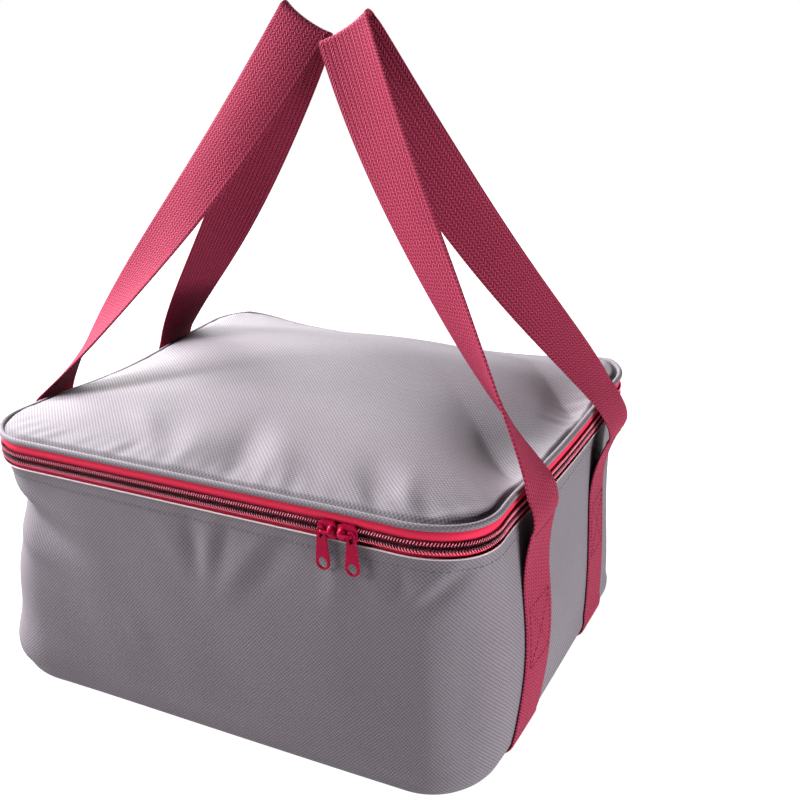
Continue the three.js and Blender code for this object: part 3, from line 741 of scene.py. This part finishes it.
class DishBagZip(bpy.types.PropertyGroup):
    """Sizes and colours of the zip."""

    tape_colour: ColourProperty(
        name="Tape colour", description="Colour of the zip's tape", default=(0.43, 0.0155, 0.046))
    coil_colour: ColourProperty(
        name="Teeth colour", description="Colour of the nylon teeth", default=(0.025, 0.005, 0.008))
    thread_colour: ColourProperty(
        name="Zip thread colour", description="Colour of the thread over the teeth",
        default=(0.72, 0.17, 0.25))
    enamel_colour: ColourProperty(
        name="Enamel colour", description="Colour of the painted sliders", default=(0.2, 0.002, 0.022))
    tooth_pitch: LengthProperty(
        name="Tooth pitch", description="Distance from tooth to tooth", default=1.6 * MM)
    tape_thickness: LengthProperty(
        name="Tape thickness", description="Thickness of the zip's tape", default=0.8 * MM)


class DishBagWebbing(bpy.types.PropertyGroup):
    """Sizes and colours of the handles' webbing."""

    colour: ColourProperty(
        name="Webbing colour", description="Colour of the webbing", default=(0.157, 0.017, 0.037))
    thread_colour: ColourProperty(
        name="Webbing thread colour", description="Colour of the sewn boxes", default=(0.15, 0.016, 0.033))
    width: LengthProperty(name="Webbing width", description="Width of the webbing", default=38 * MM)
    thickness: LengthProperty(
        name="Webbing thickness", description="Thickness of the webbing", default=1.6 * MM)
    row_pitch: LengthProperty(name="Pick pitch", description="Distance from pick to pick", default=2.4 * MM)
    column_pitch: LengthProperty(
        name="Column pitch", description="Width of one column of picks", default=2.6 * MM)
    stitch_length: LengthProperty(name="Stitch length", description="Length of one stitch", default=3 * MM)


class DishBagStage(bpy.types.PropertyGroup):
    """Floor and light."""

    floor_colour: ColourProperty(
        name="Floor colour", description="Colour of the floor", default=(0.06, 0.06, 0.06))
    key_power: PowerProperty(
        name="Key light", description="Power of the light from behind on the left", default=83.0)
    back_power: PowerProperty(name="Back light", description="Power of the light from behind", default=38.0)
    front_power: PowerProperty(
        name="Front light", description="Power of the light at the front left", default=45.0)
    high_power: PowerProperty(
        name="High light", description="Power of the high light on the left", default=111.0)
    right_power: PowerProperty(
        name="Right light", description="Power of the low light from the right", default=26.0)
    surround: FloatProperty(
        name="Surround", description="Brightness of the pale room around", subtype="FACTOR", default=0.02)


# Operators


class DISHBAG_OT_wall(bpy.types.Operator):
    """The wall cloth with its hem's fold, painted pale as a highlight, its topstitch, and the binding of its
    closing seam
    """

    bl_idname = "dish_bag.wall"
    bl_label = "Wall"

    def cloth_points(self, run, thickness):
        """The wall's grid: its section goes round the base's quarter edge, up the outer face, over the
        hem and back down inside; the inner face is the outer one less the thickness."""
        turn = np.linspace(0, np.pi / 2, 9)[:-1]
        grow = smooth(1 - np.cos(turn)) * wall_outset(run, np.full_like(run, BASE_EDGE))

        def edge(radius):
            """The quarter edge of that radius, from under the base outwards."""
            return -BASE_EDGE + radius * np.sin(turn) + grow, BASE_EDGE - radius * np.cos(turn) + 0 * run

        rise = np.concatenate([np.linspace(BASE_EDGE, 146 * MM, 56), np.linspace(147 * MM, HEM, 15)])
        fall = np.linspace(HEM, BASE_EDGE, 26)
        outer = (wall_outset(run, rise), rise + 0 * run)
        inner = (wall_outset(run, fall) - thickness, fall + 0 * run)
        lip = (outer[0][:, -1:] - thickness / 2, HEM + 0.4 * MM + 0 * run)
        under = [part[:, ::-1] for part in edge(BASE_EDGE - thickness)]
        parts = zip(edge(BASE_EDGE), outer, lip, inner, under)
        return settle(on_rim(run, *(np.concatenate(part, 1) for part in parts)))

    def execute(self, context):
        cloth = context.scene.dish_bag_cloth
        run = rim_runs(640)
        points = self.cloth_points(run[:, None], cloth.thickness)
        along = np.append(run, RIM_LENGTH / 2)
        wall = sweep("wall_cloth", points, along, path_lengths(points[0]), cloth_finish(), "bag")
        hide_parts("wall_band")

        # The hem's fold is a round bead along the hem, painted pale as a highlight where its top catches the
        # light
        bead = circle(0.6 * MM, HEM + 0.1 * MM, 0.5 * MM, 8)
        fold = carry("hem_fold", run, bead, thread_finish("Painted fold highlight", cloth.fold_highlight_colour), "bag")

        # The topstitch runs on the wall's face, one stitch to each pitch
        place = np.arange(-RIM_LENGTH / 2, RIM_LENGTH / 2 - HEM_STITCH_PITCH / 2, HEM_STITCH_PITCH)
        height = np.full_like(place, HEM_STITCH_Z)
        middle = settle(on_rim(place, wall_outset(place, height), height))
        rings = stitch_rings(middle, *rim_frame(place), HEM_STITCH_LENGTH, HEM_THREAD)
        thread = thread_finish("Grey thread", tuple(1.12 * np.array(cloth.colour)))
        sewn = tubes("hem_topstitch", rings, thread, "bag")

        # The closing seam's tape lies between two depths behind the wall's face, up the middle of the back
        lo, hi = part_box("back_seam_binding")
        heights = np.linspace(lo.z, hi.z, 40)[:, None]
        across = np.linspace(lo.x, hi.x, 9)
        x = np.concatenate([across, across[::-1]])
        depth = np.repeat([1.5 * MM, 1.5 * MM + BINDING], len(across))
        y = HALF_DEPTH + wall_outset(RIM_LENGTH / 2 - x, heights) - depth
        points = settle(np.stack(np.broadcast_arrays(x, y, heights), -1))
        binding = tubes("back_seam_tape", points[None], binding_finish(), "bag")
        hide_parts("back_seam_binding")
        return {"FINISHED"}


class DISHBAG_OT_base(bpy.types.Operator):
    """The base panel and the binding over its seam"""

    bl_idname = "dish_bag.base"
    bl_label = "Base"

    def execute(self, context):
        cloth = context.scene.dish_bag_cloth
        edge = -BASE_EDGE - GAP
        share, run, plan = panel_grid(edge, 81)
        quilt = 0.4 * MM * ripple(run, 21, 8, 30, 6) * share * (1 - share**6)
        top = cloth.thickness + np.clip(quilt, -0.3 * MM, None) * 0.5
        base = panel("base_cloth", plan, top, 0 * top, cloth_finish(), "bag")
        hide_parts("base_panel")

        # The tape is flat below and crowned by half a sine above
        lo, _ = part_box("base_seam_binding")
        wide = np.linspace(edge - 8 * MM, edge, 7)
        crown = lo.z + BINDING + 0.15 * MM * np.sin(np.linspace(0, np.pi, 7))
        section = two_faces(np.stack([wide, 0 * wide + lo.z], -1), np.stack([wide, crown], -1))
        binding = carry("base_seam_tape", rim_runs(240), section, binding_finish(), "bag")
        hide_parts("base_seam_binding")
        return {"FINISHED"}


class DISHBAG_OT_lid(bpy.types.Operator):
    """The lid cloth with its piping, the cord inside it and the binding of its seam"""

    bl_idname = "dish_bag.lid"
    bl_label = "Lid"

    def execute(self, context):
        cloth = context.scene.dish_bag_cloth
        share, run, plan = panel_grid(LID_OUTSET, 181)
        top = lid_height(share, run, plan[..., 0], plan[..., 1])
        lid = panel("lid_cloth", plan, top, top - cloth.thickness, cloth_finish(), "lid")
        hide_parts("lid_panel")
        flat = 2 * (np.array([HALF_WIDTH, HALF_DEPTH]) + SEAM_ALLOWANCE)
        float(0.95 * flat.prod())

        # The piping and its cord are rounds on one middle line
        for name, radius, look, node, slot in (
            ("piping_roll", PIPING_RADIUS, cloth_finish(), "lid_piping", "grey_fabric"),
            ("piping_filler", CORD_RADIUS, thread_finish("Pale cord", cloth.cord_colour), "lid_piping_cord",
             "piping_cord"),
        ):
            roll = carry(name, rim_runs(600), circle(PIPING_OUTSET, PIPING_Z, radius, 16), look, "lid")
            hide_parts(node)

        # The tape is a U folded over the seam's raw edge, let down wherever the lid's underside hangs lower
        lo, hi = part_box("lid_seam_binding")
        back, front, wrap, slack = -9.5 * MM, -5.5 * MM, BINDING, 0.1 * MM
        outer = [(front, lo.z), (back, lo.z), (back - wrap, lo.z + wrap),
                 (back - wrap, hi.z - wrap), (back, hi.z), (front, hi.z)]
        inner = [(front, hi.z - wrap), (back + 2 * slack, hi.z - wrap), (back + slack, hi.z - 2 * wrap),
                 (back + slack, lo.z + 2 * wrap), (back + 2 * slack, lo.z + wrap), (front, lo.z + wrap)]
        run = rim_runs(600)[::2]
        share = np.linspace(0.92, 0.98, 7)[:, None]
        x, y, _ = np.moveaxis(share[..., None] * on_rim(run, LID_OUTSET, 0), -1, 0)
        under = lid_height(share, run, x, y).min(0) - cloth.thickness - 0.5 * MM
        section = np.repeat(np.array(outer + inner)[None], len(run), 0)
        section[..., 1] -= np.clip(hi.z - under, 0, None)[:, None]
        binding = carry("lid_seam_tape", run, section, binding_finish(), "lid")
        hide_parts("lid_seam_binding")
        return {"FINISHED"}


class DISHBAG_OT_zip(bpy.types.Operator):
    """Both zip tapes, their rows of teeth and the thread that holds the teeth"""

    bl_idname = "dish_bag.zip"
    bl_label = "Zip"

    def tape(self, row, low, high, body, sizes):
        """One tape: from low to high it bellies out by half a sine where it shows, and behind the hem it
        follows the wall's face inwards."""
        run = np.linspace(-ZIP_END, ZIP_END, 421)
        rise = np.linspace(low, high, 14)
        shown = np.clip((rise - ZIP_MID - COIL_EDGE) / (TAPE_TOP - ZIP_MID - COIL_EDGE), 0, 1)
        belly = TAPE_OUTSET + TAPE_BELLY * np.sin(np.pi * shown)
        hem = wall_outset(run[:, None], np.array([HEM]))
        behind = wall_outset(run[:, None], np.minimum(rise, HEM)) - hem
        out = belly + np.minimum(behind, 0) * smooth((HEM - rise) / HEM_RAMP)
        face = np.stack(np.broadcast_arrays(out, rise), -1)
        lining = face - np.array([sizes.tape_thickness, 0])
        tape = carry(f"{row}_tape", run, two_faces(face, lining), tape_finish(), body, closed=False)
        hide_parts(f"{row}_zip_tape")

    def teeth(self, row, sign, body, sizes):
        """One row of teeth: each is a bar of oval section that leans, is widest near the middle line and
        thins at its ends. A slanted stitch holds each tooth."""
        count = int(2 * ZIP_END / sizes.tooth_pitch)
        place = np.linspace(-ZIP_END, ZIP_END, count + 1)[:-1] + sizes.tooth_pitch / 2
        place = place + 0.25 * sign * sizes.tooth_pitch
        way = np.linspace(0, 1, 6)[:, None]
        head = 1 + 0.28 * np.exp(-(((way - 0.15) / 0.16) ** 2))
        half = TOOTH_HALF * head * (1 - 0.5 * (2 * way - 1) ** 8)
        deep = TOOTH_DEEP * (1 - 0.35 * (2 * way - 1) ** 6)
        turn = full_turn(8)
        at = place[:, None, None] + TOOTH_LEAN * way + half * np.cos(turn)
        height = ZIP_MID + sign * (TOOTH_FROM + TOOTH_LENGTH * way) + 0 * turn
        rings = settle(on_rim(at, TOOTH_OUTSET + deep * np.sin(turn), height))
        teeth = tubes(f"{row}_teeth", rings, coil_finish(), body)
        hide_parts(f"{row}_zip_coil")
        middle = place + 0.2 * MM
        base = settle(on_rim(middle, ZIP_STITCH_OUTSET, ZIP_MID + sign * ZIP_STITCH_RISE))
        along, out = rim_frame(middle)
        slant = unit(sign * along + np.array([0, 0, 1.6]))
        rings = stitch_rings(base, slant, out, ZIP_STITCH_LENGTH, ZIP_THREAD)
        thread = thread_finish("Red zip thread", sizes.thread_colour)
        tubes(f"{row}_teeth_thread", rings, thread, body)

    def execute(self, context):
        sizes = context.scene.dish_bag_zip
        self.tape("upper", ZIP_MID + TAPE_PARTING, TAPE_TOP, "lid", sizes)
        self.tape("lower", TAPE_FOOT, ZIP_MID - TAPE_PARTING, "bag", sizes)
        self.teeth("upper", 1, "lid", sizes)
        self.teeth("lower", -1, "bag", sizes)
        return {"FINISHED"}


class DISHBAG_OT_hinge(bpy.types.Operator):
    """The strip of cloth that joins wall and lid along the back"""

    bl_idname = "dish_bag.hinge"
    bl_label = "Hinge strip"

    def execute(self, context):
        lo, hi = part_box("hinge_strip")
        across = np.linspace(lo.x, hi.x, 90)
        rise = np.linspace(lo.z, hi.z, 48)

        # A flat strip that bellies out by half a sine above the hem, carried along the back
        belly = hi.y + 0.9 * MM * np.sin(np.pi * np.clip((rise - HEM) / (hi.z - HEM), 0, 1))
        loop = two_faces(np.stack([belly, rise], -1), np.stack([belly - 0.8 * MM, rise], -1))
        points = np.empty((len(across), len(loop), 3))
        points[..., 0] = across[:, None]
        points[..., 1:] = loop
        points, ends = settle(points), (loop, loop)
        strip = sweep("hinge_cloth", points, across, path_lengths(loop), cloth_finish(), ends=ends)
        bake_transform(strip)
        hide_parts("hinge_strip")
        return {"FINISHED"}


class DISHBAG_OT_sliders(bpy.types.Operator):
    """The painted sliders and pulls: the frame's own castings with softened edges"""

    bl_idname = "dish_bag.sliders"
    bl_label = "Sliders and pulls"

    def execute(self, context):
        for name in ("slider_left", "slider_right", "pull_left", "pull_right"):
            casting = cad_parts[name]
            casting.modifiers.new("Join facets", "WELD").merge_threshold = 0.02 * MM
            skin = casting.modifiers.new("Cast skin", "REMESH")
            skin.mode = "VOXEL"
            skin.voxel_size = 0.14 * MM
            skin.use_smooth_shade = True
            rounding = casting.modifiers.new("Rounded edges", "SMOOTH")
            rounding.factor = 0.5
            rounding.iterations = 5
            casting.material_slots[0].material = enamel_finish()
        return {"FINISHED"}


class DISHBAG_OT_webbing(bpy.types.Operator):
    """Both handles: each one length of webbing, sewn up the wall in front and behind, with sewn boxes"""

    bl_idname = "dish_bag.webbing"
    bl_label = "Webbing"

    def section(self, web):
        """The webbing's section: two flat faces that meet in round edges, as (across, lift) pairs."""
        half, thick = web.width / 2, web.thickness / 2
        across = np.concatenate([[-1, -0.99, -0.965], np.linspace(-0.93, 0.93, 15), [0.965, 0.99, 1]]) * half
        lift = thick * np.sqrt(1 - np.clip((np.abs(across) - half + thick) / thick, 0, 0.98) ** 2)
        return two_faces(np.stack([across, lift], -1), np.stack([across, -lift], -1))

    def bow(self, sign, y, height, web):
        """How far the webbing stands off the wall: the square of the way from where it comes free up
        to the hinge, times what the wall leaves to the loop's foot there."""
        run = sign * (SIDE_MIDDLE + y)
        wall = HALF_WIDTH + wall_outset(run, np.full_like(run, STRAP_TOP)) + GAP + web.thickness / 2
        way = np.clip((height - STRAP_FREE) / (STRAP_TOP - STRAP_FREE), 0, None)
        return way**2 * (HINGE_X + STRAP_SLACK - wall)

    def strip(self, sign, sy, web, section):
        """Points of one sewn strip from its foot up: it follows the base's round edge and the wall's
        face, its gap and half thickness outside them, and bows off the wall near its top."""
        across, lift = section.T
        turn = np.linspace(STRAP_FOOT, np.pi / 2, 9)[:-1][:, None]
        rise = np.linspace(BASE_EDGE, STRAP_TOP - 1 * MM, 56)[:, None]
        y = sy * STRAP_Y - sy * across
        run = sign * (SIDE_MIDDLE + y)
        stand = GAP + web.thickness / 2 - sign * lift
        foot = wall_outset(run, np.full_like(run, BASE_EDGE))
        round_out = -BASE_EDGE + (BASE_EDGE + stand) * np.sin(turn) + smooth(1 - np.cos(turn)) * foot
        round_up = BASE_EDGE - (BASE_EDGE + stand) * np.cos(turn)
        out = np.concatenate([round_out, wall_outset(run[None], rise) + stand + self.bow(sign, y, rise, web)])
        up = np.concatenate([round_up, rise + 0 * across])
        return np.stack([sign * (HALF_WIDTH + out), y + 0 * out, up], -1)

    def loop(self, sign, side):
        """The free loop's middle line, its way and the direction across it. Each leg is a cubic curve
        that leaves the strip upwards and outwards and arrives square to the fold; the across direction
        turns from along the wall to along the fold; the fold is an arc."""
        back = np.array([0, 1, 0])
        apex = np.array([LOOP_MEET_X + sign * LOOP_SPREAD, LOOP_REARWARD[side], LOOP_FROM + LOOP_RISE[side]])
        lean = unit(apex * np.array([1, 0, 1]) - np.array([sign * HINGE_X, 0, STRAP_TOP]))
        tilt = np.array([-lean[2], 0, lean[0]])
        crease = np.sin(FOLD_TURN) * back + np.cos(FOLD_TURN) * tilt
        rearward = unit(back - crease * crease[1])
        upward = np.cross(crease, rearward)
        upward = upward * np.sign(upward[2])
        centre = apex - FOLD_RADIUS * upward
        end = np.pi / 2 - FOLD_OPENING

        def arc(angle):
            """Place and way on the fold's arc, at angles from its top."""
            c, s = np.cos(angle)[..., None], np.sin(angle)[..., None]
            return centre + FOLD_RADIUS * (s * rearward + c * upward), c * rearward - s * upward

        def leg(sy):
            """Places, ways and across directions of the front or the rear leg, from its foot up."""
            foot = np.array([sign * (HINGE_X + STRAP_SLACK), sy * STRAP_Y, STRAP_TOP + 0.8 * MM])
            knee = foot + LOOP_SWEEP * np.array([sign, 1, 1])
            top, arrive = arc(np.array(sy * end))
            draw = top + sy * arrive * LOOP_DRAW[side][sy] + LOOP_DRIFT[side] * back
            t = np.linspace(0, 1, 110)[:, None]
            line = (1 - t) ** 3 * foot + 3 * t * (1 - t) ** 2 * knee + 3 * t**2 * (1 - t) * draw + t**3 * top
            way = unit((1 - t) ** 2 * (knee - foot) + 2 * t * (1 - t) * (draw - knee) + t**2 * (top - draw))
            twisting = np.clip((t - TWIST_START[sy]) / (1 - TWIST_START[sy]), 0, 1)
            angle = (np.pi / 2 + sy * FOLD_TURN) * (1 - (1 - twisting) ** TWIST_HASTE[sy])
            across = -sy * np.cos(angle) * back + np.sin(angle) * tilt
            across = unit(across - (across * way).sum(-1, keepdims=True) * way)
            return line, way, across

        line, way = arc(np.linspace(-end, end, 26)[1:-1])
        fold = (line, way, np.broadcast_to(crease, line.shape))
        line, way, across = (part[::-1] for part in leg(1))
        return [np.concatenate(part) for part in zip(leg(-1), fold, (line, -way, across))]

    def webbing_points(self, sign, side, web, section):
        """The whole length: front strip, free loop and rear strip. The loop's section is set across and
        square to its line, and cups a little by a slow wave along it."""
        line, way, across = self.loop(sign, side)
        facing = unit(np.cross(way, across))
        share = np.linspace(0, 1, len(line))[:, None]
        curl = WEB_CURL * np.sin(np.pi * share) ** 1.5 * np.sin(7 * np.pi * share + sign)
        cup = curl * (1 - 2 * (section[:, 0] / (web.width / 2)) ** 2)
        lift = (section[:, 1:] + cup[..., None]) * facing[:, None]
        free = line[:, None] + section[:, :1] * across[:, None] + lift
        front, rear = (self.strip(sign, sy, web, section) for sy in (-1, 1))
        return np.concatenate([front, free, rear[::-1]])

    def boxes(self, sign, web):
        """Rings of the stitches of one side's two sewn boxes: an oblong, its diagonals and a row over its
        top, stepped along each line by the stitch pitch and laid on the webbing's face."""
        half, low, high = BOX_HALF, BOX_LOW, BOX_HIGH
        corners = np.array([(-half, low), (half, low), (half, high), (-half, high)])
        lines = [(corners[a], corners[b]) for a, b in ((0, 1), (1, 2), (2, 3), (3, 0), (0, 2), (1, 3))]
        lines.append(np.array([(-half, TACK_Z), (half, TACK_Z)]))
        middles, ways = [], []
        for start, stop in lines:
            span = np.linalg.norm(stop - start)
            count = int(span / (STITCH_STEP * web.stitch_length))
            share = (np.arange(count) + 0.5) / count
            middles.append(start + share[:, None] * (stop - start))
            ways.append(np.broadcast_to((stop - start) / span, (count, 2)))
        (across, height), way = np.concatenate(middles).T, np.concatenate(ways)

        def face(y, z):
            """How far the webbing's outer face stands out of the rim."""
            wall = wall_outset(sign * (SIDE_MIDDLE + y), z) + GAP + web.thickness
            return wall + self.bow(sign, y, z, web)

        places, alongs = [], []
        for sy in (-1, 1):
            y = sy * STRAP_Y + across
            out = face(y, height)
            slope = (face(y, height + MM) - out) / MM
            places.append(np.stack([sign * (HALF_WIDTH + out), y, height], -1))
            alongs.append(unit(np.stack([sign * slope * way[:, 1], way[:, 0], way[:, 1]], -1)))
        place, along = np.concatenate(places), np.concatenate(alongs)
        outward = np.array([sign, 0, 0]) - along * along[:, :1] * sign
        return stitch_rings(place, along, unit(outward), web.stitch_length, BOX_THREAD)

    def execute(self, context):
        web = context.scene.dish_bag_webbing
        section = self.section(web)
        girth = np.append(section[:, 0], section[0, 0])
        thread = thread_finish("Raspberry thread", web.thread_colour)
        for side, sign in (("left", -1), ("right", 1)):
            points = self.webbing_points(sign, side, web, section)
            along = path_lengths(points.mean(1), False)
            ends = (section, section)
            webbing = sweep(f"webbing_{side}", points, along, girth, webbing_finish(), ends=ends)
            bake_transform(webbing)
            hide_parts(f"strap_{side}_front", f"strap_{side}_rear", f"handle_{side}")
            sewn = tubes(f"sewn_boxes_{side}", self.boxes(sign, web), thread)
            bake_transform(sewn)
        return {"FINISHED"}


class DISHBAG_OT_stage(bpy.types.Operator):
    """Camera, pale floor and soft studio light"""

    bl_idname = "dish_bag.stage"
    bl_label = "Stage"

    def softbox(self, name, place, size, power):
        """An oblong area light that looks at the bag's middle."""
        lamp = bpy.data.lights.new(name, "AREA")
        lamp.shape = "RECTANGLE"
        lamp.size, lamp.size_y = size
        lamp.energy = power
        light = bpy.data.objects.new(name, lamp)
        aim = Vector((0, 0, 0.14)) - Vector(place)
        light.matrix_world = Matrix.Translation(place) @ aim.to_track_quat("-Z", "Y").to_matrix().to_4x4()
        bpy.context.scene.collection.objects.link(light)

    def execute(self, context):
        stage = context.scene.dish_bag_stage
        camera = bpy.data.objects.new("Camera", bpy.data.cameras.new("Camera"))
        axes = (CAMERA_RIGHT, CAMERA_UP, CAMERA_RIGHT.cross(CAMERA_UP))
        camera.matrix_world = Matrix.Translation(CAMERA_PLACE) @ Matrix(axes).transposed().to_4x4()
        camera.data.sensor_width = SENSOR_WIDTH
        camera.data.lens = SENSOR_WIDTH * FOCAL_PIXELS / FRAME_PIXELS
        context.scene.collection.objects.link(camera)
        context.scene.camera = camera

        # The floor is a level grid just below the bag
        side = np.linspace(-6, 6, 7)
        points = np.stack([*np.meshgrid(side, side, indexing="ij"), np.full((7, 7), -0.4 * MM)], -1)
        faces, (i, j) = grid_faces(7, 7)
        lengths = np.stack([side[i], side[j]], -1)[:, ::-1]
        paper = floor_finish(stage.floor_colour)
        put_mesh("floor", points.reshape(-1, 3), faces[:, ::-1], lengths, paper)

        self.softbox("Key light", (-1.3, 0.7, 0.9), (1.2, 0.6), stage.key_power)
        self.softbox("Back light", (-0.6, 1.3, 1.0), (0.9, 0.6), stage.back_power)
        self.softbox("Front light", (-1.5, -1.0, 0.7), (0.9, 0.6), stage.front_power)
        self.softbox("High light", (-1.3, -0.2, 1.2), (0.8, 0.6), stage.high_power)
        self.softbox("Right light", (1.2, -0.18, 0.06), (0.9, 0.1), stage.right_power)

        # The room is white to the eye and dim as a light
        world = bpy.data.worlds.new("Pale room")
        world.use_nodes = True
        tree = world.node_tree
        seen = add(tree, "ShaderNodeLightPath").outputs["Is Camera Ray"]
        strength = add(tree, "ShaderNodeMapRange", {"Value": seen, "To Min": stage.surround}).outputs[0]
        plug(tree, tree.nodes["Background"], {"Color": (1, 1, 1, 1), "Strength": strength})
        context.scene.world = world
        context.scene.view_settings.view_transform = "Standard"
        return {"FINISHED"}


class DISHBAG_PT_panel(bpy.types.Panel):
    """Lists the bag's sizes and the steps that build it"""

    bl_idname = "DISHBAG_PT_panel"
    bl_label = "Dish storage bag"
    bl_space_type = "VIEW_3D"
    bl_region_type = "UI"
    bl_category = "Dish bag"

    def draw(self, context):
        for settings_name in SETTINGS:
            box = self.layout.box()
            settings = getattr(context.scene, settings_name)
            for key in settings.__annotations__:
                box.prop(settings, key)
        for step in STEPS:
            self.layout.operator(step.bl_idname)


SETTINGS = {
    "dish_bag_cloth": DishBagCloth,
    "dish_bag_zip": DishBagZip,
    "dish_bag_webbing": DishBagWebbing,
    "dish_bag_stage": DishBagStage,
}
STEPS = (DISHBAG_OT_stage, DISHBAG_OT_wall, DISHBAG_OT_base, DISHBAG_OT_lid, DISHBAG_OT_zip,
         DISHBAG_OT_hinge, DISHBAG_OT_sliders, DISHBAG_OT_webbing)


def register():
    """Registers the settings, the steps and the panel."""
    for name, settings in SETTINGS.items():
        bpy.utils.register_class(settings)
        setattr(bpy.types.Scene, name, PointerProperty(type=settings))
    for step in STEPS:
        bpy.utils.register_class(step)
    bpy.utils.register_class(DISHBAG_PT_panel)


def unregister():
    """Takes the panel, the steps and the settings out again."""
    bpy.utils.unregister_class(DISHBAG_PT_panel)
    for step in reversed(STEPS):
        bpy.utils.unregister_class(step)
    for name, settings in SETTINGS.items():
        delattr(bpy.types.Scene, name)
        bpy.utils.unregister_class(settings)


def main():
    """Builds every piece in order."""
    register()
    bpy.ops.dish_bag.stage()
    bpy.ops.dish_bag.wall()
    bpy.ops.dish_bag.base()
    bpy.ops.dish_bag.lid()
    bpy.ops.dish_bag.zip()
    bpy.ops.dish_bag.hinge()
    bpy.ops.dish_bag.sliders()
    bpy.ops.dish_bag.webbing()


if __name__ == "__main__":
    main()
